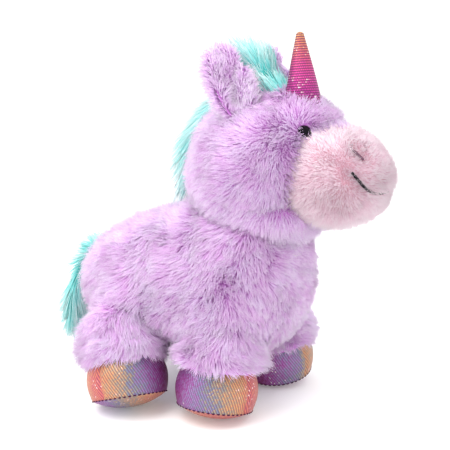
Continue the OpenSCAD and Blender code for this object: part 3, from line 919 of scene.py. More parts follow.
for number, (side, sign) in enumerate(SIDES):
    grow(
        "head_pile_" + side, head_skin, lavender, ("head", "lavender_plush", "head_cover"),
        lambda p, n: on_head(p, n) and p.x * sign >= 0, head_tall, over_head,
        per_mm2=2.8, length=8, width=0.42, lean=0.75, clump=0.45, wisp=3.5, curl=0.2, seed=21 + number,
    )

# %% [markdown]
# ## Muzzle
# The muzzle is a bulb of short pink pile, sewn to the head along one plane. Mouth and nostrils are
# stitched through it and draw it in. The stitches could be laid on last, but their lines are needed
# first: the cloth is dented along them and the pile keeps off them.

# %% Lines of the face
MOUTH_HALF, MOUTH_LOW, MOUTH_RISE = 25, -7, 12
NOSTRIL_ACROSS, NOSTRIL_UP, NOSTRIL_LENGTH, NOSTRIL_BOW = 18, 16.5, 6.5, 0.22
NOSTRIL_SLANT = math.radians(92)
MOUTH_SINK, NOSTRIL_SINK = (0.3 * MM, 0.3 * MM), (2.6 * MM, 0.3 * MM)


def muzzle_front(x, z):
    """The point of the muzzle's front over a place across and above its middle, found in a few tries."""
    spread = 0
    for _ in range(9):
        share = math.hypot(2 * x / (MUZZLE_WIDTH + spread), 2 * z / (MUZZLE_HEIGHT + spread))
        shift = -(1 - min(share, 1) ** MUZZLE_BLUNT) ** (1 / MUZZLE_BLUNT)
        spread = MUZZLE_SPREAD * (shift + 1) / 2
    return Vector((x, MUZZLE_LENGTH / 2 * shift - MUZZLE_FORWARD, z))


def on_muzzle(path, sink):
    """Puts points across and above the muzzle's middle on its front, each with the way out."""
    middle = Vector((0, -MUZZLE_FORWARD, 0))
    line = []
    for i, (x, z) in enumerate(path):
        p = muzzle_front(x * MM, z * MM)
        way = (to_muzzle.to_3x3() @ (p - middle)).normalized()
        line.append((to_muzzle @ p - way * mix(*sink, i / (len(path) - 1)), way))
    return line


def nostril_curve(sign):
    crease = []
    for i in range(9):
        share = i / 8 - 0.5
        bow = NOSTRIL_BOW * (0.25 - share * share)
        across = share * math.cos(NOSTRIL_SLANT) + bow * math.sin(NOSTRIL_SLANT)
        down = share * math.sin(NOSTRIL_SLANT) - bow * math.cos(NOSTRIL_SLANT)
        crease.append((sign * (NOSTRIL_ACROSS + NOSTRIL_LENGTH * across), NOSTRIL_UP - NOSTRIL_LENGTH * down))
    return crease


mouth_curve = [(MOUTH_HALF * s, MOUTH_LOW + MOUTH_RISE * s ** 4) for s in [i / 30 - 1 for i in range(61)]]
mouth_line = on_muzzle(mouth_curve, MOUTH_SINK)
nostril_lines = {side: on_muzzle(nostril_curve(sign), NOSTRIL_SINK) for side, sign in SIDES}
stitched_in = [p for line in (mouth_line, *nostril_lines.values()) for p, way in line]


def to_stitches(p):
    return min((p - q).length for q in stitched_in)


print("face lines:", len(mouth_line), "points of the mouth and", len(stitched_in), "in all")

# %% Muzzle cloth
MUZZLE_DEPTH, MUZZLE_PLUMP = 3 * MM, 2.5 * MM
bm = trimmed(rounded(muzzle_at, MUZZLE_DEPTH, 128, 96), seam_point, -seam_normal)
bm.normal_update()
for v in bm.verts:
    low = max(0, -v.normal.z)
    v.co -= v.normal * MUZZLE_PLUMP * low * near(past_seam(v.co), 30 * MM)
    v.co += v.normal * MUZZLE_PLUMP * max(0, -v.normal.y) ** 2
    dent = mix(0.6, 1.8, min(1, abs(v.co.x) / (12 * MM))) * MM
    v.co -= v.normal * dent * near(to_stitches(v.co), 7 * MM)
muzzle_skin = thing("muzzle_cloth", bm, pink_cloth)
sewn(muzzle_skin, "head", "pink_plush", "muzzle_cover", fill=0.95)
print("muzzle cloth:", len(muzzle_skin.data.polygons), "faces")

# %% [markdown]
# The pink pile is brushed back over the seam and lies smooth on top. The border of the two colours isn't
# the seam's plane: it runs forward over brow and chin. So lavender pile grows on part of the muzzle's
# cloth too, which is simpler than a cloth with a curved seam and looks the same.

# %% Muzzle pile


def past_border(p):
    """How far a point lies in front of the border of the colours, which runs forward over brow and chin."""
    q = to_muzzle.inverted() @ p
    reach = (24 if q.z > 0 else 14) * MM
    return -q.y - 31 * MM - reach * near(abs(q.x), 34 * MM)


def over_muzzle(p, n):
    """Brushed back over the seam, and up over the lower rim of the eyes."""
    back = near(past_seam(p), 26 * MM)
    eye = nearest_eye(p)
    towards = (eye - p).normalized() * 0.75 * near((p - eye).length, 13 * MM)
    return Vector((0, 1.1 * back, 0)) + n * 0.4 * back + towards


def muzzle_tall(p, n):
    """Longer below, at the border and by the eyes."""
    low = clamp(0.5 - n.z)
    return 0.62 + 0.33 * low + 0.25 * near(past_border(p), 26 * MM) + 0.45 * near(from_eyes(p), 12 * MM)


def stitch_gap(p):
    """How far pile keeps off the stitches: most at the ends of the mouth and least at the nostrils."""
    at_mouth = p.z < HEAD.z + 8 * MM
    return mix(1.8, 2.1, clamp(abs(p.x) / (4 * MM))) * MM if at_mouth else 1.0 * MM


def on_pink(p, n):
    return past_border(p) > 0 and to_stitches(p) > stitch_gap(p) and from_eyes(p) > 3.2 * MM


def on_brow(p, n):
    return past_border(p) < 0 and past_seam(p) > 0.3 * MM and from_eyes(p) > 5.5 * MM


def brow_tall(p, n):
    return 0.7 + 0.3 * min(1, -past_border(p) / (8 * MM))


grow(
    "muzzle_pile", muzzle_skin, pink, ("head", "pink_plush", "muzzle_cover"),
    on_pink, muzzle_tall, over_muzzle,
    per_mm2=3.3, length=5.5, width=0.4, lean=0.5, swirl=16, wisp=3, clump=0.35, curl=0.2, seed=31,
)
grow(
    "brow_pile", muzzle_skin, lavender, ("head", "lavender_plush", "head_cover"),
    on_brow, brow_tall, over_head,
    per_mm2=3.0, length=8, width=0.42, clump=0.45, wisp=3.5, curl=0.2, seed=32,
)

# %% [markdown]
# ## Legs
# Each leg is a round root that turns in the body's hollow, with a short plush tube below it that ends
# over the hoof. A lathed profile gives both in one piece. The pile hangs down and is shorter at the hoof.

# %% Legs
LEG_DROP, LEG_SWELL = 15 * MM, 2 * MM
SPLAY = {"front": 12, "rear": 13}
REACH = {"front": 0, "rear": 18}
BARE_EDGE = {"front": 4.5 * MM, "rear": 2.4 * MM}


def leg_place(leg):
    end, side = leg
    sign = dict(SIDES)[side]
    turn = Euler((-math.radians(REACH[end]), -sign * math.radians(SPLAY[end]), 0))
    return Matrix.Translation(HIPS[leg]) @ turn.to_matrix().to_4x4()


def hanging(p, n):
    return Vector((0, 0, -0.9 * clamp((p.z - 30 * MM) / (25 * MM))))


arc = [math.pi / 2 * (1 - i / 12) for i in range(1, 13)]
leg_profile = [(0, leg_skin_r)]
leg_profile += [(leg_skin_r * math.cos(a), leg_skin_r * math.sin(a)) for a in arc]
leg_profile += [(leg_skin_r + LEG_SWELL * math.sin(math.pi * k / 6), -LEG_DROP * k / 6) for k in range(1, 7)]
leg_profile += [(0, -LEG_DROP)]
for number, leg in enumerate(LEGS):
    name = "%s_%s_leg" % leg
    bm = lathed(leg_profile)
    bmesh.ops.transform(bm, matrix=leg_place(leg), verts=bm.verts)
    skin = thing(name + "_cloth", bm, lavender_cloth)
    sewn(skin, name, "lavender_plush", name + "_cover", fill=0.9)
    home = leg_place(leg).inverted()
    lowest = -LEG_DROP + BARE_EDGE[leg[0]]
    grow(
        name + "_pile", skin, lavender, (name, "lavender_plush", name + "_cover"),
        lambda p, n: body_depth(p, 6 * MM) > 1 and (home @ p).z > lowest,
        lambda p, n: max(0.55, min(1, 0.55 + (home @ p).z / (30 * MM) + 0.5)), hanging,
        per_mm2=2.9, length=9.5, width=0.46, lean=0.8, clump=0.55, wisp=4.5, seed=41 + number,
    )

# %% [markdown]
# ## Ears
# An ear is two leaves of plush sewn together and gathered into a round root. Its edges curl forward
# round a hollow with a fold in it. One closed form with a cupped middle does for both leaves, because
# the pile hides the seam between them.

# %% Ear form
EAR_LENGTH, EAR_WIDTH, EAR_THICK, EAR_CUP = [v * MM for v in (42, 33, 9, 6)]
EAR_LEAN, EAR_SPLAY, EAR_TWIST = [math.radians(v) for v in (18, 15, 40)]
EAR_DEPTH, CREASE_WIDTH = 3.5 * MM, 4 * MM
CREASE_MM = 1.8
CREASE_TOP, CREASE_FOOT = Vector((-9, 26)) * MM, Vector((3, 3)) * MM


def ear_place(side, sign):
    turn = Euler((-EAR_LEAN, EAR_SPLAY * sign, EAR_TWIST * sign))
    return Matrix.Translation(pivots[side + "_ear_fold"]) @ turn.to_matrix().to_4x4()


def ear_at(k, around, inset):
    leaf = mix(-0.12, 0.97, k)
    full = math.sin(math.pi * mix(0.1, 1, k)) ** 0.42
    u = math.cos(around)
    return Vector((
        (EAR_WIDTH / 2 - 1.8 * inset) * full * u,
        -(EAR_THICK / 2 - inset / 2) * full * blunt_sin(around, 4) - EAR_CUP * full * (u * u - 0.5),
        (EAR_LENGTH - inset) * leaf,
    ))


def from_crease(p, sign):
    """Distance of a point of an ear from the fold in its hollow, in the ear's own frame."""
    run = CREASE_FOOT - CREASE_TOP
    q = Vector((p.x * sign, p.z))
    k = clamp((q - CREASE_TOP).dot(run) / run.length_squared)
    return (q - CREASE_TOP - run * k).length if p.y < 3 * MM else 1


print("ears", round(EAR_LENGTH / MM), "mm long")

# %% Ears
EAR_STRAND_SHARE = 0.85


def make_ear(side, sign, seed):
    place = ear_place(side, sign)
    home = place.inverted()
    bm = rounded(ear_at, EAR_DEPTH, 64, 48)
    bm.normal_update()
    for v in bm.verts:
        v.co -= v.normal * CREASE_MM * MM * near(from_crease(v.co, sign), CREASE_WIDTH)
    bmesh.ops.transform(bm, matrix=place, verts=bm.verts)
    ear = thing(side + "_ear_cloth", bm, lavender_cloth)
    sewing = (side + "_ear", "lavender_plush", side + "_ear_front_panel", side + "_ear_back_panel")
    sewn(ear, *sewing, fill=0.3)

    def over_ear(p, n):
        """Combed up along the leaf, apart to its edges, and back over its tip."""
        q = home @ p
        tip = clamp((q.z - 28 * MM) / (10 * MM))
        return place.to_3x3() @ Vector((q.x / (18 * MM), 0.3 + 0.9 * tip, 0.9))

    def on_ear(p, n):
        """Denser on the rim, and bare in the fold and inside the head."""
        turned = home.to_3x3() @ n
        rim = 1 + 1.5 * max(0, abs(turned.x) - 0.5, turned.z - 0.5)
        outside = (p - HEAD).length > HEAD_R - 3 * MM
        return rim if outside and from_crease(home @ p, sign) >= 0.4 * MM else 0

    def ear_tall(p, n):
        return 0.55 + 0.45 * min(1, from_crease(home @ p, sign) / (7 * MM))

    grow(
        side + "_ear_pile", ear, lightened_ear_lavender, sewing, on_ear, ear_tall, over_ear,
        per_mm2=3.4, length=7.5, width=0.42, own_share=EAR_STRAND_SHARE,
        lean=0.7, swirl=20, ruffle=0.4, wisp=3.5, clump=0.4, curl=0.2, seed=seed,
    )


for number, (side, sign) in enumerate(SIDES):
    make_ear(side, sign, 51 + number)

# %% [markdown]
# ## Mane, forelock and tail
# The hair is a strip of long turquoise pile, sewn into the seam along the back of the head, a tuft of
# it between the ears and another at the rump. Flat cards with painted hair are lighter, but they show
# from the side. So each grows as strands on a slim core and is combed one way.

# %% Hair cores
MANE_WIDTH, MANE_HEIGHT, HAIR_ROOT = 22 * MM, 9 * MM, 3 * MM
MANE_START, MANE_END = math.radians(14), math.radians(96)
FORELOCK_HEIGHT, FORELOCK_WIDTH, FORELOCK_DEPTH, FORELOCK_SWEEP = [v * MM for v in (31, 28, 15, 15)]
TAIL_LENGTH, TAIL_WIDTH, TAIL_THICK, TAIL_SWEEP = [v * MM for v in (76, 34, 14, 26)]
FULLNESS = 0.6
CROWN = HEAD + Vector((0, 0, head_radius(Vector((0, 0, 1)))))
TAIL = pivots["tail_lift"]


def mane_at(k, around, inset):
    angle, full = mix(MANE_START, MANE_END, k), math.sin(math.pi * k) ** FULLNESS
    radius = HEAD_R - HAIR_ROOT + (MANE_HEIGHT + HAIR_ROOT - inset) / 2 * full * (1 + math.sin(around))
    across = (MANE_WIDTH / 2 - inset / 2) * full * math.cos(around)
    return HEAD + Vector((across, radius * math.sin(angle), radius * math.cos(angle)))


def tuft(k):
    return math.sin(math.pi * mix(0.16, 1, k)) ** FULLNESS


def forelock_at(k, around, inset):
    k = mix(0, 0.5, k)
    full = tuft(k) if k < 0.495 else 0
    return CROWN + Vector((
        (FORELOCK_WIDTH / 2 - inset) * full * math.cos(around),
        FORELOCK_SWEEP * k * k - (FORELOCK_DEPTH / 2 - inset) * full * math.sin(around),
        mix(-HAIR_ROOT, FORELOCK_HEIGHT, k),
    ))


def tail_at(k, around, inset):
    full = tuft(k)
    stand = BODY_Y + BODY_LENGTH / 2 - TAIL.y
    back = stand * min(k * 10, 1) + TAIL_SWEEP * (1 - (1 - k) ** 2)
    return TAIL + Vector((
        (TAIL_WIDTH / 2 - inset) * full * math.cos(around),
        back + (TAIL_THICK / 2 - inset) * full * math.sin(around),
        -TAIL_LENGTH * 0.9 * k,
    ))


print("crown at", [round(v / MM, 1) for v in CROWN], "mm")

# %% Mane


def on_nape(p, n):
    return (p - HEAD).length > HEAD_R - 2 * MM and p.y > HEAD.y + 20 * MM


def mane_tall(p, n):
    """Longer down the neck than on the crown."""
    return 1.9 - 1.1 * max(0, (p - HEAD).normalized().z)


def down_the_neck(p, n):
    out = (p - HEAD).normalized()
    return Vector((0, out.z, -out.y)) * 1.9


mane = thing("mane_cloth", rounded(mane_at, 5 * MM, 24, 40), turquoise_cloth)
MANE_SEWING = ("head", "turquoise_plush", "mane")
sewn(mane, *MANE_SEWING)
grow(
    "mane_hair", mane, turquoise, MANE_SEWING, on_nape, mane_tall, down_the_neck,
    per_mm2=1.9, length=18, width=0.5, lean=0.4, ruffle=0.15, wisp=6, sag=0.2, curl=0.15,
    strand=LONG_STRAND, seed=61,
)

# %% Forelock


def at_fringe(p, n):
    """The strip of the scalp between the tuft and the horn."""
    q = p - CROWN
    return abs(q.x) < 11 * MM and -13 * MM < q.y < -3 * MM and p.z > HEAD.z and from_horn(p) > 10 * MM


def everywhere(p, n):
    return 1


def tuft_tall(p, n):
    """Short in front and long behind."""
    return mix(0.45, 1.2, clamp((p.y - CROWN.y + 7 * MM) / (14 * MM)))


def fringe_tall(p, n):
    return mix(0.6, 1.2, clamp(1 + (p.y - CROWN.y) / (13 * MM)))


FORELOCK_SEWING = ("head", "turquoise_plush", "forelock")
FORELOCK_WAYS = dict(lean=0.3, ruffle=0.2, wisp=6, sag=0.1, curl=0.2, strand=LONG_STRAND)
forelock = thing("forelock_cloth", rounded(forelock_at, 2.5 * MM, 24, 24), turquoise_cloth)
sewn(forelock, *FORELOCK_SEWING)
grow(
    "forelock_hair", forelock, turquoise, FORELOCK_SEWING, everywhere, tuft_tall,
    lambda p, n: Vector((0, 0.95, 1.4)), per_mm2=2.2, length=20, width=0.5, seed=62, stand=0.45,
    **FORELOCK_WAYS,
)
grow(
    "forelock_fringe", head_skin, turquoise, FORELOCK_SEWING, at_fringe, fringe_tall,
    lambda p, n: Vector((0, 1.1, 0.8)), per_mm2=2.2, length=26, width=0.5, seed=64,
    **FORELOCK_WAYS,
)

# %% Tail


def down_the_tail(p, n):
    """Up and out at the root, then down."""
    k = clamp(4 * (TAIL.z - p.z) / TAIL_LENGTH)
    return Vector((0, 0.7, 0.6)).lerp(Vector((0, 0.1, -1.4)), k)


def tail_tall(p, n):
    """Shorter towards its end."""
    return mix(0.5, 1, clamp((p.z - 20 * MM) / (45 * MM)))


TAIL_SEWING = ("tail", "turquoise_plush", "tail")
tail = thing("tail_cloth", rounded(tail_at, 4 * MM, 24, 40), turquoise_cloth)
sewn(tail, *TAIL_SEWING)
grow(
    "tail_hair", tail, turquoise, TAIL_SEWING, everywhere, tail_tall, down_the_tail,
    per_mm2=1.4, length=17, width=0.5, lean=0.4, ruffle=0.15, wisp=7, curl=0.15, sag=0.3,
    strand=LONG_STRAND, seed=63,
)

# %% [markdown]
# ## Foil fabric
# Horn and hooves are sewn from knitted cloth with rows of tiny foil dots. The dots shine, the cloth
# between them is dull and dark, and the colour of the foil changes over the piece. Some dots carry painted
# glints, near-white specks in their colour. A pattern in space would cut across the rows, so a map in
# millimetres lays them round the piece, and a hue that is kept at each corner picks the foil's colour.

# %% Foil finish
# FOIL_PAINTED_GLINT is the near-white colour of the painted glints.
FOIL_GROUND, FOIL_PAINTED_GLINT = paint(96, 20, 76), paint(255, 244, 236)


def foil(name, stops, row=1.45, dot=1.0, slant=0.0, shade=0.6, edge=(0.42, 0.66)):
    """Rows of foil dots with painted glints, a row apart and turned by slant, over a darker knitted ground.
    """
    def make(net):
        weave = net.add("ShaderNodeUVMap", {"uv_map": "Weave"})
        about_z = {"rotation_type": "Z_AXIS"}
        turned = net.add("ShaderNodeVectorRotate", about_z, {"Vector": weave, "Angle": slant})
        parts = net.add("ShaderNodeSeparateXYZ", {}, {"Vector": turned})
        up = parts.out("Y") / row
        across = parts.out("X") / dot + net.single("FLOOR", up + 0.25) * 0.5
        lift = net.single("SINE", up * math.tau) * 0.5 + 0.5
        bead = net.single("SINE", across * math.tau) * 0.5 + 0.5
        spot = net.smooth(lift * 0.65 + bead * 0.35, *edge)
        cell = net.add("ShaderNodeVectorMath", {"operation": "FLOOR"}, {
            0: net.add("ShaderNodeCombineXYZ", {}, {"X": across, "Y": up}),
        })
        speck = net.add("ShaderNodeTexWhiteNoise", {"noise_dimensions": "2D"}, {"Vector": cell})
        cloudy = net.cloud(net.place(), 60.0, 3.0)
        hue = net.add("ShaderNodeAttribute", {"attribute_name": "hue"}).out("Fac")
        hue = hue + (cloudy - 0.5) * 0.4 + (speck - 0.5) * 0.2
        colour = net.add("ShaderNodeValToRGB", {"stops": stops}, {"Fac": hue})
        # Painted glints: where noise runs high, a dot's colour turns near white.
        painted_glint = net.smooth(speck + cloudy * 0.9, 1.4, 1.55) * spot
        shine = net.mixed(painted_glint * 0.8, colour, FOIL_PAINTED_GLINT)
        return {
            "Base Color": net.mixed(spot, net.mixed(shade, colour, FOIL_GROUND), shine),
            "Metallic": spot * 0.5 + 0.15,
            "Roughness": 0.6 - spot * 0.28,
            "Normal": net.bump(spot, 0.6, 0.0004),
        }
    return finish(name, make)


hoof_foil = foil("hoof_foil", [
    (0.0, paint(124, 28, 96)), (0.16, paint(152, 76, 152)), (0.32, paint(148, 124, 172)),
    (0.42, paint(116, 132, 156)), (0.5, paint(150, 148, 132)), (0.66, paint(206, 156, 106)),
    (0.84, paint(212, 126, 96)), (1.0, paint(204, 106, 104)),
], slant=1.1)
horn_foil = foil("horn_foil", [
    (0.0, paint(176, 48, 144)), (0.3, paint(216, 72, 154)), (0.55, paint(222, 90, 130)),
    (0.8, paint(220, 124, 100)), (1.0, paint(226, 172, 104)),
], shade=0.85, edge=(0.5, 0.7))
print("foil finishes:", hoof_foil.name, "and", horn_foil.name)

# %% The foil's map


def wrapped(bm, girth, hue, is_sole=lambda face: False):
    """Lays the foil's map round a lathed form and flat on its sole, with a hue at each corner."""
    weave = bm.loops.layers.uv.new("Weave")
    shade = bm.loops.layers.float.new("hue")
    for face in bm.faces:
        sole = is_sole(face)
        middle = face.calc_center_median()
        facing = math.atan2(middle.y, middle.x)
        for loop in face.loops:
            p = loop.vert.co
            angle = math.atan2(p.y, p.x) % math.tau
            angle = facing + (angle - facing + math.pi) % math.tau - math.pi
            loop[weave].uv = (p.x / MM, p.y / MM) if sole else (angle * girth / MM, p.z / MM)
            loop[shade] = hue(facing, angle, p, sole)


print("foil maps are in millimetres")

# %% [markdown]
# ## Horn
# The horn is a stuffed cone of foil, a little full at half its height, with its rows lying round it and
# a rounded tip. A ready-made cone has straight sides and a sharp tip, so a profile is lathed instead. It
# starts inside the head, where the pile covers its seam.

# %% Horn
HORN_HEIGHT, HORN_R = 38 * MM, 10.5 * MM
HORN_TAPER, HORN_CURVE, HORN_TIP = 8.7 * MM, 1.1, 0.9
HORN_GIRTH = 0.6 * HORN_R
horn_place = Matrix.Translation(HORN_ROOT) @ Matrix.Rotation(-math.radians(4), 4, "X")
profile = [(0, -12 * MM), (HORN_R + 2 * MM, -11 * MM)]
profile += [(HORN_R - HORN_TAPER * (i / 40) ** HORN_CURVE, HORN_HEIGHT * i / 40) for i in range(38)]
tip_r, tip_z = profile[-1]
profile += [(tip_r * math.cos(a), tip_z + HORN_TIP * tip_r * math.sin(a)) for a in (0.3, 0.6, 0.9, 1.2)]
profile += [(0, tip_z + HORN_TIP * tip_r)]
bm = lathed(profile, 64)
wrapped(bm, HORN_GIRTH, lambda facing, turn, p, sole: max(0, p.z / HORN_HEIGHT))
bmesh.ops.transform(bm, matrix=horn_place, verts=bm.verts)
horn = thing("horn_foil", bm, horn_foil)
sewn(horn, "horn", "foil", "horn_cover", fill=0.95)
print("horn:", len(horn.data.polygons), "faces")

# %% [markdown]
# ## Hooves
# A hoof is a small bag of two foil panels and a round sole, sewn together along a seam that shows as a
# line of dark stitches. It is modelled once and blown up a little by a cloth simulation that holds its
# seams, because stuffing swells the panels between them in a way that is hard to guess.

# %% Hoof profile
HOOF_TOP, HOOF_BASE, SOLE_R = 21.5 * MM, 23.5 * MM, 44.5 * MM
HOOF_PLUMP, HOOF_OVERLAP = 3.2 * MM, 3 * MM
SEAM_DROP = math.sqrt(SOLE_R ** 2 - HOOF_BASE ** 2)
SOLE_ANGLE = math.asin(HOOF_BASE / SOLE_R)
hoof_profile = [(0, -(LEG_DROP - HOOF_OVERLAP))]
for k in [i / 16 for i in range(17)]:
    out = mix(HOOF_TOP, HOOF_BASE, k) + HOOF_PLUMP * math.sin(math.pi * k)
    hoof_profile.append((out, -mix(LEG_DROP - HOOF_OVERLAP, SEAM_DROP, k)))
for k in [1 - i / 12 for i in range(1, 12)]:
    hoof_profile.append((SOLE_R * math.sin(SOLE_ANGLE * k), -SOLE_R * math.cos(SOLE_ANGLE * k)))
hoof_profile.append((0, -SOLE_R))
print("hoof profile:", len(hoof_profile), "points")

# %% One hoof
HOOF_PRESSURE, HOOF_SWELL = 4, 2.0 * MM
SEAM_PULL = 0.9 * MM
SIM_FRAMES = 20


def blown(bm, held, push, most):
    """Swells a closed bag with cloth simulation; held(point) is how firmly a point stays, 0 to 1."""
    start = [v.co.copy() for v in bm.verts]
    bag = thing("bag", bm.copy())
    firm = bag.vertex_groups.new(name="firm")
    for v in bag.data.vertices:
        firm.add([v.index], held(v.co), "REPLACE")
    cloth = bag.modifiers.new("cloth", "CLOTH")
    cloth.settings.use_pressure = True
    cloth.settings.uniform_pressure_force = push
    cloth.settings.effector_weights.gravity = 0
    cloth.settings.vertex_group_mass = "firm"
    for number in range(1, SIM_FRAMES + 1):
        scene.frame_set(number)
    settled(bag)
    bm.verts.ensure_lookup_table()
    for v, old, new in zip(bm.verts, start, bag.data.vertices):
        step = new.co - old
        v.co = old + step * min(1, most / max(step.length, 1e-9))
    scene.frame_set(1)
    bpy.data.objects.remove(bag)


def hoof_held(p):
    """The seam of the sole and the top edge hold fast, and the side seams give a little."""
    if abs(p.z + SEAM_DROP) < 0.4 * MM or p.z > -LEG_DROP + 2 * MM:
        return 1.0
    turn = abs(math.atan2(p.y, p.x)) / math.pi
    return 0.85 if abs(turn - 0.5) < 0.02 and p.z > -SEAM_DROP else 0.0


hoof = lathed(hoof_profile, 72)
blown(hoof, hoof_held, HOOF_PRESSURE, HOOF_SWELL)
for v in hoof.verts:
    if v.co.z > -SEAM_DROP + 0.5 * MM and abs(v.co.x) < 0.5 * MM and abs(v.co.y) > 5 * MM:
        v.co.y -= math.copysign(SEAM_PULL, v.co.y)
print("hoof:", len(hoof.verts), "points")

# %% [markdown]
# ## Thread and stitches
# Thread is thin, so a row of small rounded stitches along a path shows more of it than one tube would:
# each stitch catches the light and dips between its neighbours. Soles, mouth and nostrils share them.

# %% Stitches


def thread(name, colour, darker):
    """Spun thread: fine slanting plies, darker between them."""
    def make(net):
        plies = net.add("ShaderNodeTexWave", {"bands_direction": "DIAGONAL"}, {
            "Vector": net.place(), "Scale": 900.0, "Distortion": 1.5,
        }).out("Fac")
        return {
            "Base Color": net.mixed(plies, darker, colour),
            "Roughness": 0.9 - plies * 0.2,
            "Specular IOR Level": 0.15,
            "Normal": net.bump(plies, 0.5, 0.0002),
        }
    return finish(name, make)


def stitched(path, length, width):
    """A row of short rounded stitches; path is points, each with the way out of the cloth."""
    bm = bmesh.new()
    size = Matrix.Diagonal((length / 2, width / 2, width / 2.4, 1))
    for i, (p, out) in enumerate(path):
        ahead = (path[min(i + 1, len(path) - 1)][0] - path[max(i - 1, 0)][0]).normalized()
        across = ahead.cross(out).normalized()
        turn = Matrix((ahead, across, across.cross(ahead))).transposed().to_4x4()
        place = Matrix.Translation(p) @ turn @ size
        bmesh.ops.create_uvsphere(bm, u_segments=8, v_segments=6, radius=1, matrix=place)
    return in_order(bm)


stitch_thread = thread("stitch_thread", paint(82, 32, 70), paint(48, 14, 40))
black_thread = thread("black_thread", (0.014, 0.011, 0.015, 1), (0.005, 0.004, 0.006, 1))
grey_thread = thread("grey_thread", paint(120, 86, 104), paint(84, 58, 74))
print("threads:", [m.name for m in (stitch_thread, black_thread, grey_thread)])

# %% [markdown]
# The foil of each hoof runs through its colours from the seam between its two panels. These colours are
# partly painted reflection: real foil changes its hue with the angle of light and view, and here each
# hoof's hues are fixed by place as they show from the camera's side. Where that seam lies differs from
# hoof to hoof, because the toy is sewn by hand. Each row below gives the seam's turn in degrees, then a
# first hue and how it falls on the panel ahead and on the one behind, then the sole's.

# %% Foil hues
# Painted reflection: each row fixes the foil's iridescent hues by place.
HOOF_FOIL = {
    ("front", "right"): (260, (0.95, -0.7), (0.74, -0.9), (0.88, 0.1)),
    ("front", "left"): (260, (0.68, -0.6), (0.54, -1.1), (0.02, 0.02)),
    ("rear", "right"): (176, (0.74, -1.05), (0.95, -0.8), (0.5, 0.36)),
    ("rear", "left"): (4, (0.95, -0.8), (0.74, -1.05), (0.5, 0.36)),
}
MODELLED_SEAM = 270


def hoof_hue(leg):
    """The foil's hue, partly painted reflection, on two panels that meet at a seam, each running from a first
    hue, and on the sole.
    """
    seam, ahead, behind, (sole_middle, sole_run) = HOOF_FOIL[leg]

    def hue(facing, turn, p, sole):
        if sole:
            return sole_middle + sole_run * (p.x * 0.5 - p.y * 0.85) / HOOF_BASE
        past = (math.degrees(facing) - seam) % 360
        run = ((math.degrees(turn) - seam + 180) % 360 - 180) / 180
        first, fall = ahead if past < 180 else behind
        return clamp(first + fall * abs(run))
    return hue


print("seams at", [HOOF_FOIL[leg][0] for leg in LEGS], "degrees")

# %% Four hooves
SOLE_STITCHES = 48
STITCH_LENGTH, STITCH_WIDTH = 2.1 * MM, 1.0 * MM
SOLE_CLEAR, STITCH_CLEAR = 0.3 * MM, 0.9 * MM


def sole_ring(place):
    """Points along the sole's seam, kept off the floor, each with the way out."""
    ring = []
    for i in range(SOLE_STITCHES):
        turn = math.tau * i / SOLE_STITCHES
        p = place @ Vector((math.cos(turn) * HOOF_BASE, math.sin(turn) * HOOF_BASE, -SEAM_DROP))
        p.z = max(p.z, STITCH_CLEAR)
        ring.append((p, place.to_3x3() @ Vector((math.cos(turn), math.sin(turn), -0.4))))
    return ring


for leg in LEGS:
    name = "%s_%s_" % leg
    bm = hoof.copy()
    seam_turn = Matrix.Rotation(math.radians(HOOF_FOIL[leg][0] - MODELLED_SEAM), 3, "Z")
    bmesh.ops.rotate(bm, cent=(0, 0, 0), matrix=seam_turn, verts=bm.verts)
    wrapped(bm, HOOF_BASE, hoof_hue(leg), lambda face: face.calc_center_median().z < -SEAM_DROP)
    place = leg_place(leg)
    bmesh.ops.transform(bm, matrix=place, verts=bm.verts)
    for v in bm.verts:
        v.co.z = max(v.co.z, SOLE_CLEAR)
    piece = thing(name + "hoof_foil", bm, hoof_foil)
    panels = (name + "hoof_outer_panel", name + "hoof_inner_panel", name + "sole")
    sewn(piece, name + "leg", "foil", *panels, fill=0.9)
    seam = stitched(sole_ring(place), STITCH_LENGTH, STITCH_WIDTH)
    sewn(thing(name + "sole_stitches", seam, stitch_thread), name + "leg", "black_thread", name + "sole")
    print(piece.name, len(piece.data.polygons), "faces and", SOLE_STITCHES, "stitches")
hoof.free()

# %% [markdown]
# ## Face
# The eyes are glossy moulded buttons, held by washers behind the cloth. Their solids have the right
# shape but loose triangles, which shade in facets, so merged and smoothed copies stand for them. The
# washers' solids stay and only get their plastic. Mouth and nostrils are embroidered: short stitches
# that overlap along the lines that the muzzle was dented on.

# %% Eyes


def gloss(net):
    """Black moulded plastic, polished, with the faint haze of fine scratches."""
    place = net.place()
    deep = net.cloud(place, 150.0, 2.0)
    return {
        "Base Color": net.mixed(deep, (0.004, 0.003, 0.005, 1), (0.012, 0.009, 0.014, 1)),
        "Roughness": net.cloud(place, 700.0, 4.0) * 0.16 + 0.06,
        "Specular IOR Level": 0.06,
    }


def moulded(net):
    """Milky plastic of the washers, a little cloudy and matt."""
    cloudy = net.cloud(net.place(), 300.0, 3.0)
    return {
        "Base Color": net.mixed(cloudy, (0.74, 0.74, 0.7, 1), (0.88, 0.88, 0.85, 1)),
        "Roughness": cloudy * 0.25 + 0.35,
        "Normal": net.bump(cloudy, 0.2, 0.0002),
    }


eye_gloss = finish("eye_gloss", gloss)
washer_plastic = finish("washer_plastic", moulded)
for side, sign in SIDES:
    eye = thing(side + "_eye_button", merged_copy(side + "_eye"), eye_gloss)
    sewn(eye, "head", "eye", side + "_eye")
    washer = frame["nodes"][side + "_eye_washer"]
    washer.data.materials.clear()
    washer.data.materials.append(washer_plastic)
    print(eye.name, len(eye.data.polygons), "faces")

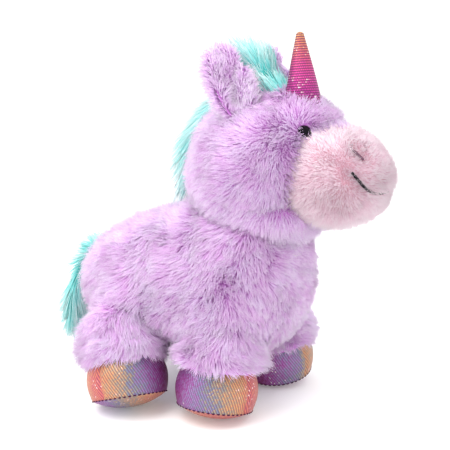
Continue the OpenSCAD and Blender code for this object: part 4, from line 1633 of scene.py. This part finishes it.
# %% Mouth and nostrils
mouth = thing("mouth_stitches", stitched(mouth_line, 2.8 * MM, 2.0 * MM), black_thread)
sewn(mouth, "head", "black_thread", "mouth_stitching")
for side, line in nostril_lines.items():
    nostril = thing(side + "_nostril_stitches", stitched(line, 2.2 * MM, 1.6 * MM), grey_thread)
    sewn(nostril, "head", "grey_thread", side + "_nostril_stitching")
print("stitches of the face:", len(stitched_in))

# %% [markdown]
# ## Stuffing
# Inside each cover lies loose fibre. It is hidden, but a part can be taken to pieces, so it gets more than
# a plain solid: a merged copy of its node, drawn in a little by noise, looks like packed wadding.

# %% Stuffing
STUFFED = {"body": "torso", "neck": "neck", "head": "head", "muzzle": "head", "horn": "horn"}
STUFFED.update({"%s_%s_leg" % leg: "%s_%s_leg" % leg for leg in LEGS})


def wadding(net):
    """Tangled white fibre."""
    tangle = net.cloud(net.place(), 400.0, 6.0, distortion=2.0)
    return {
        "Base Color": net.mixed(tangle, (0.72, 0.72, 0.7, 1), (0.93, 0.93, 0.91, 1)),
        "Roughness": 0.95,
        "Normal": net.bump(tangle, 0.6, 0.001),
    }


fibre = finish("fibre", wadding)
for cover, body in STUFFED.items():
    bm = merged_copy(cover + "_stuffing")
    for v in bm.verts:
        v.co -= v.normal * (0.4 + 0.6 * abs(noise.noise(v.co * 60))) * MM
    sewn(thing(cover + "_wadding", bm, fibre), body, "fibre", cover + "_stuffing")
print("stuffed:", list(STUFFED))

# %% [markdown]
# ## Floor
# A plain pale sheet that runs far past the picture's edges, so that only the toy's soft shadow shows on
# it. It glows a little, which keeps it as white as the studio. It lies just under the soles and isn't
# part of the toy.

# %% Floor
FLOOR_HALF, FLOOR_DROP = 6, -0.0004


def sheet(net):
    return {
        "Base Color": (0.9, 0.9, 0.9, 1),
        "Roughness": 0.9,
        "Emission Color": (1, 1, 1, 1),
        "Emission Strength": 0.15,
    }


bm = bmesh.new()
low = Matrix.Translation((0, 0, FLOOR_DROP))
bmesh.ops.create_grid(bm, x_segments=1, y_segments=1, size=FLOOR_HALF, matrix=low)
floor = thing("floor", bm, finish("floor", sheet))
print("floor", 2 * FLOOR_HALF, "m across")
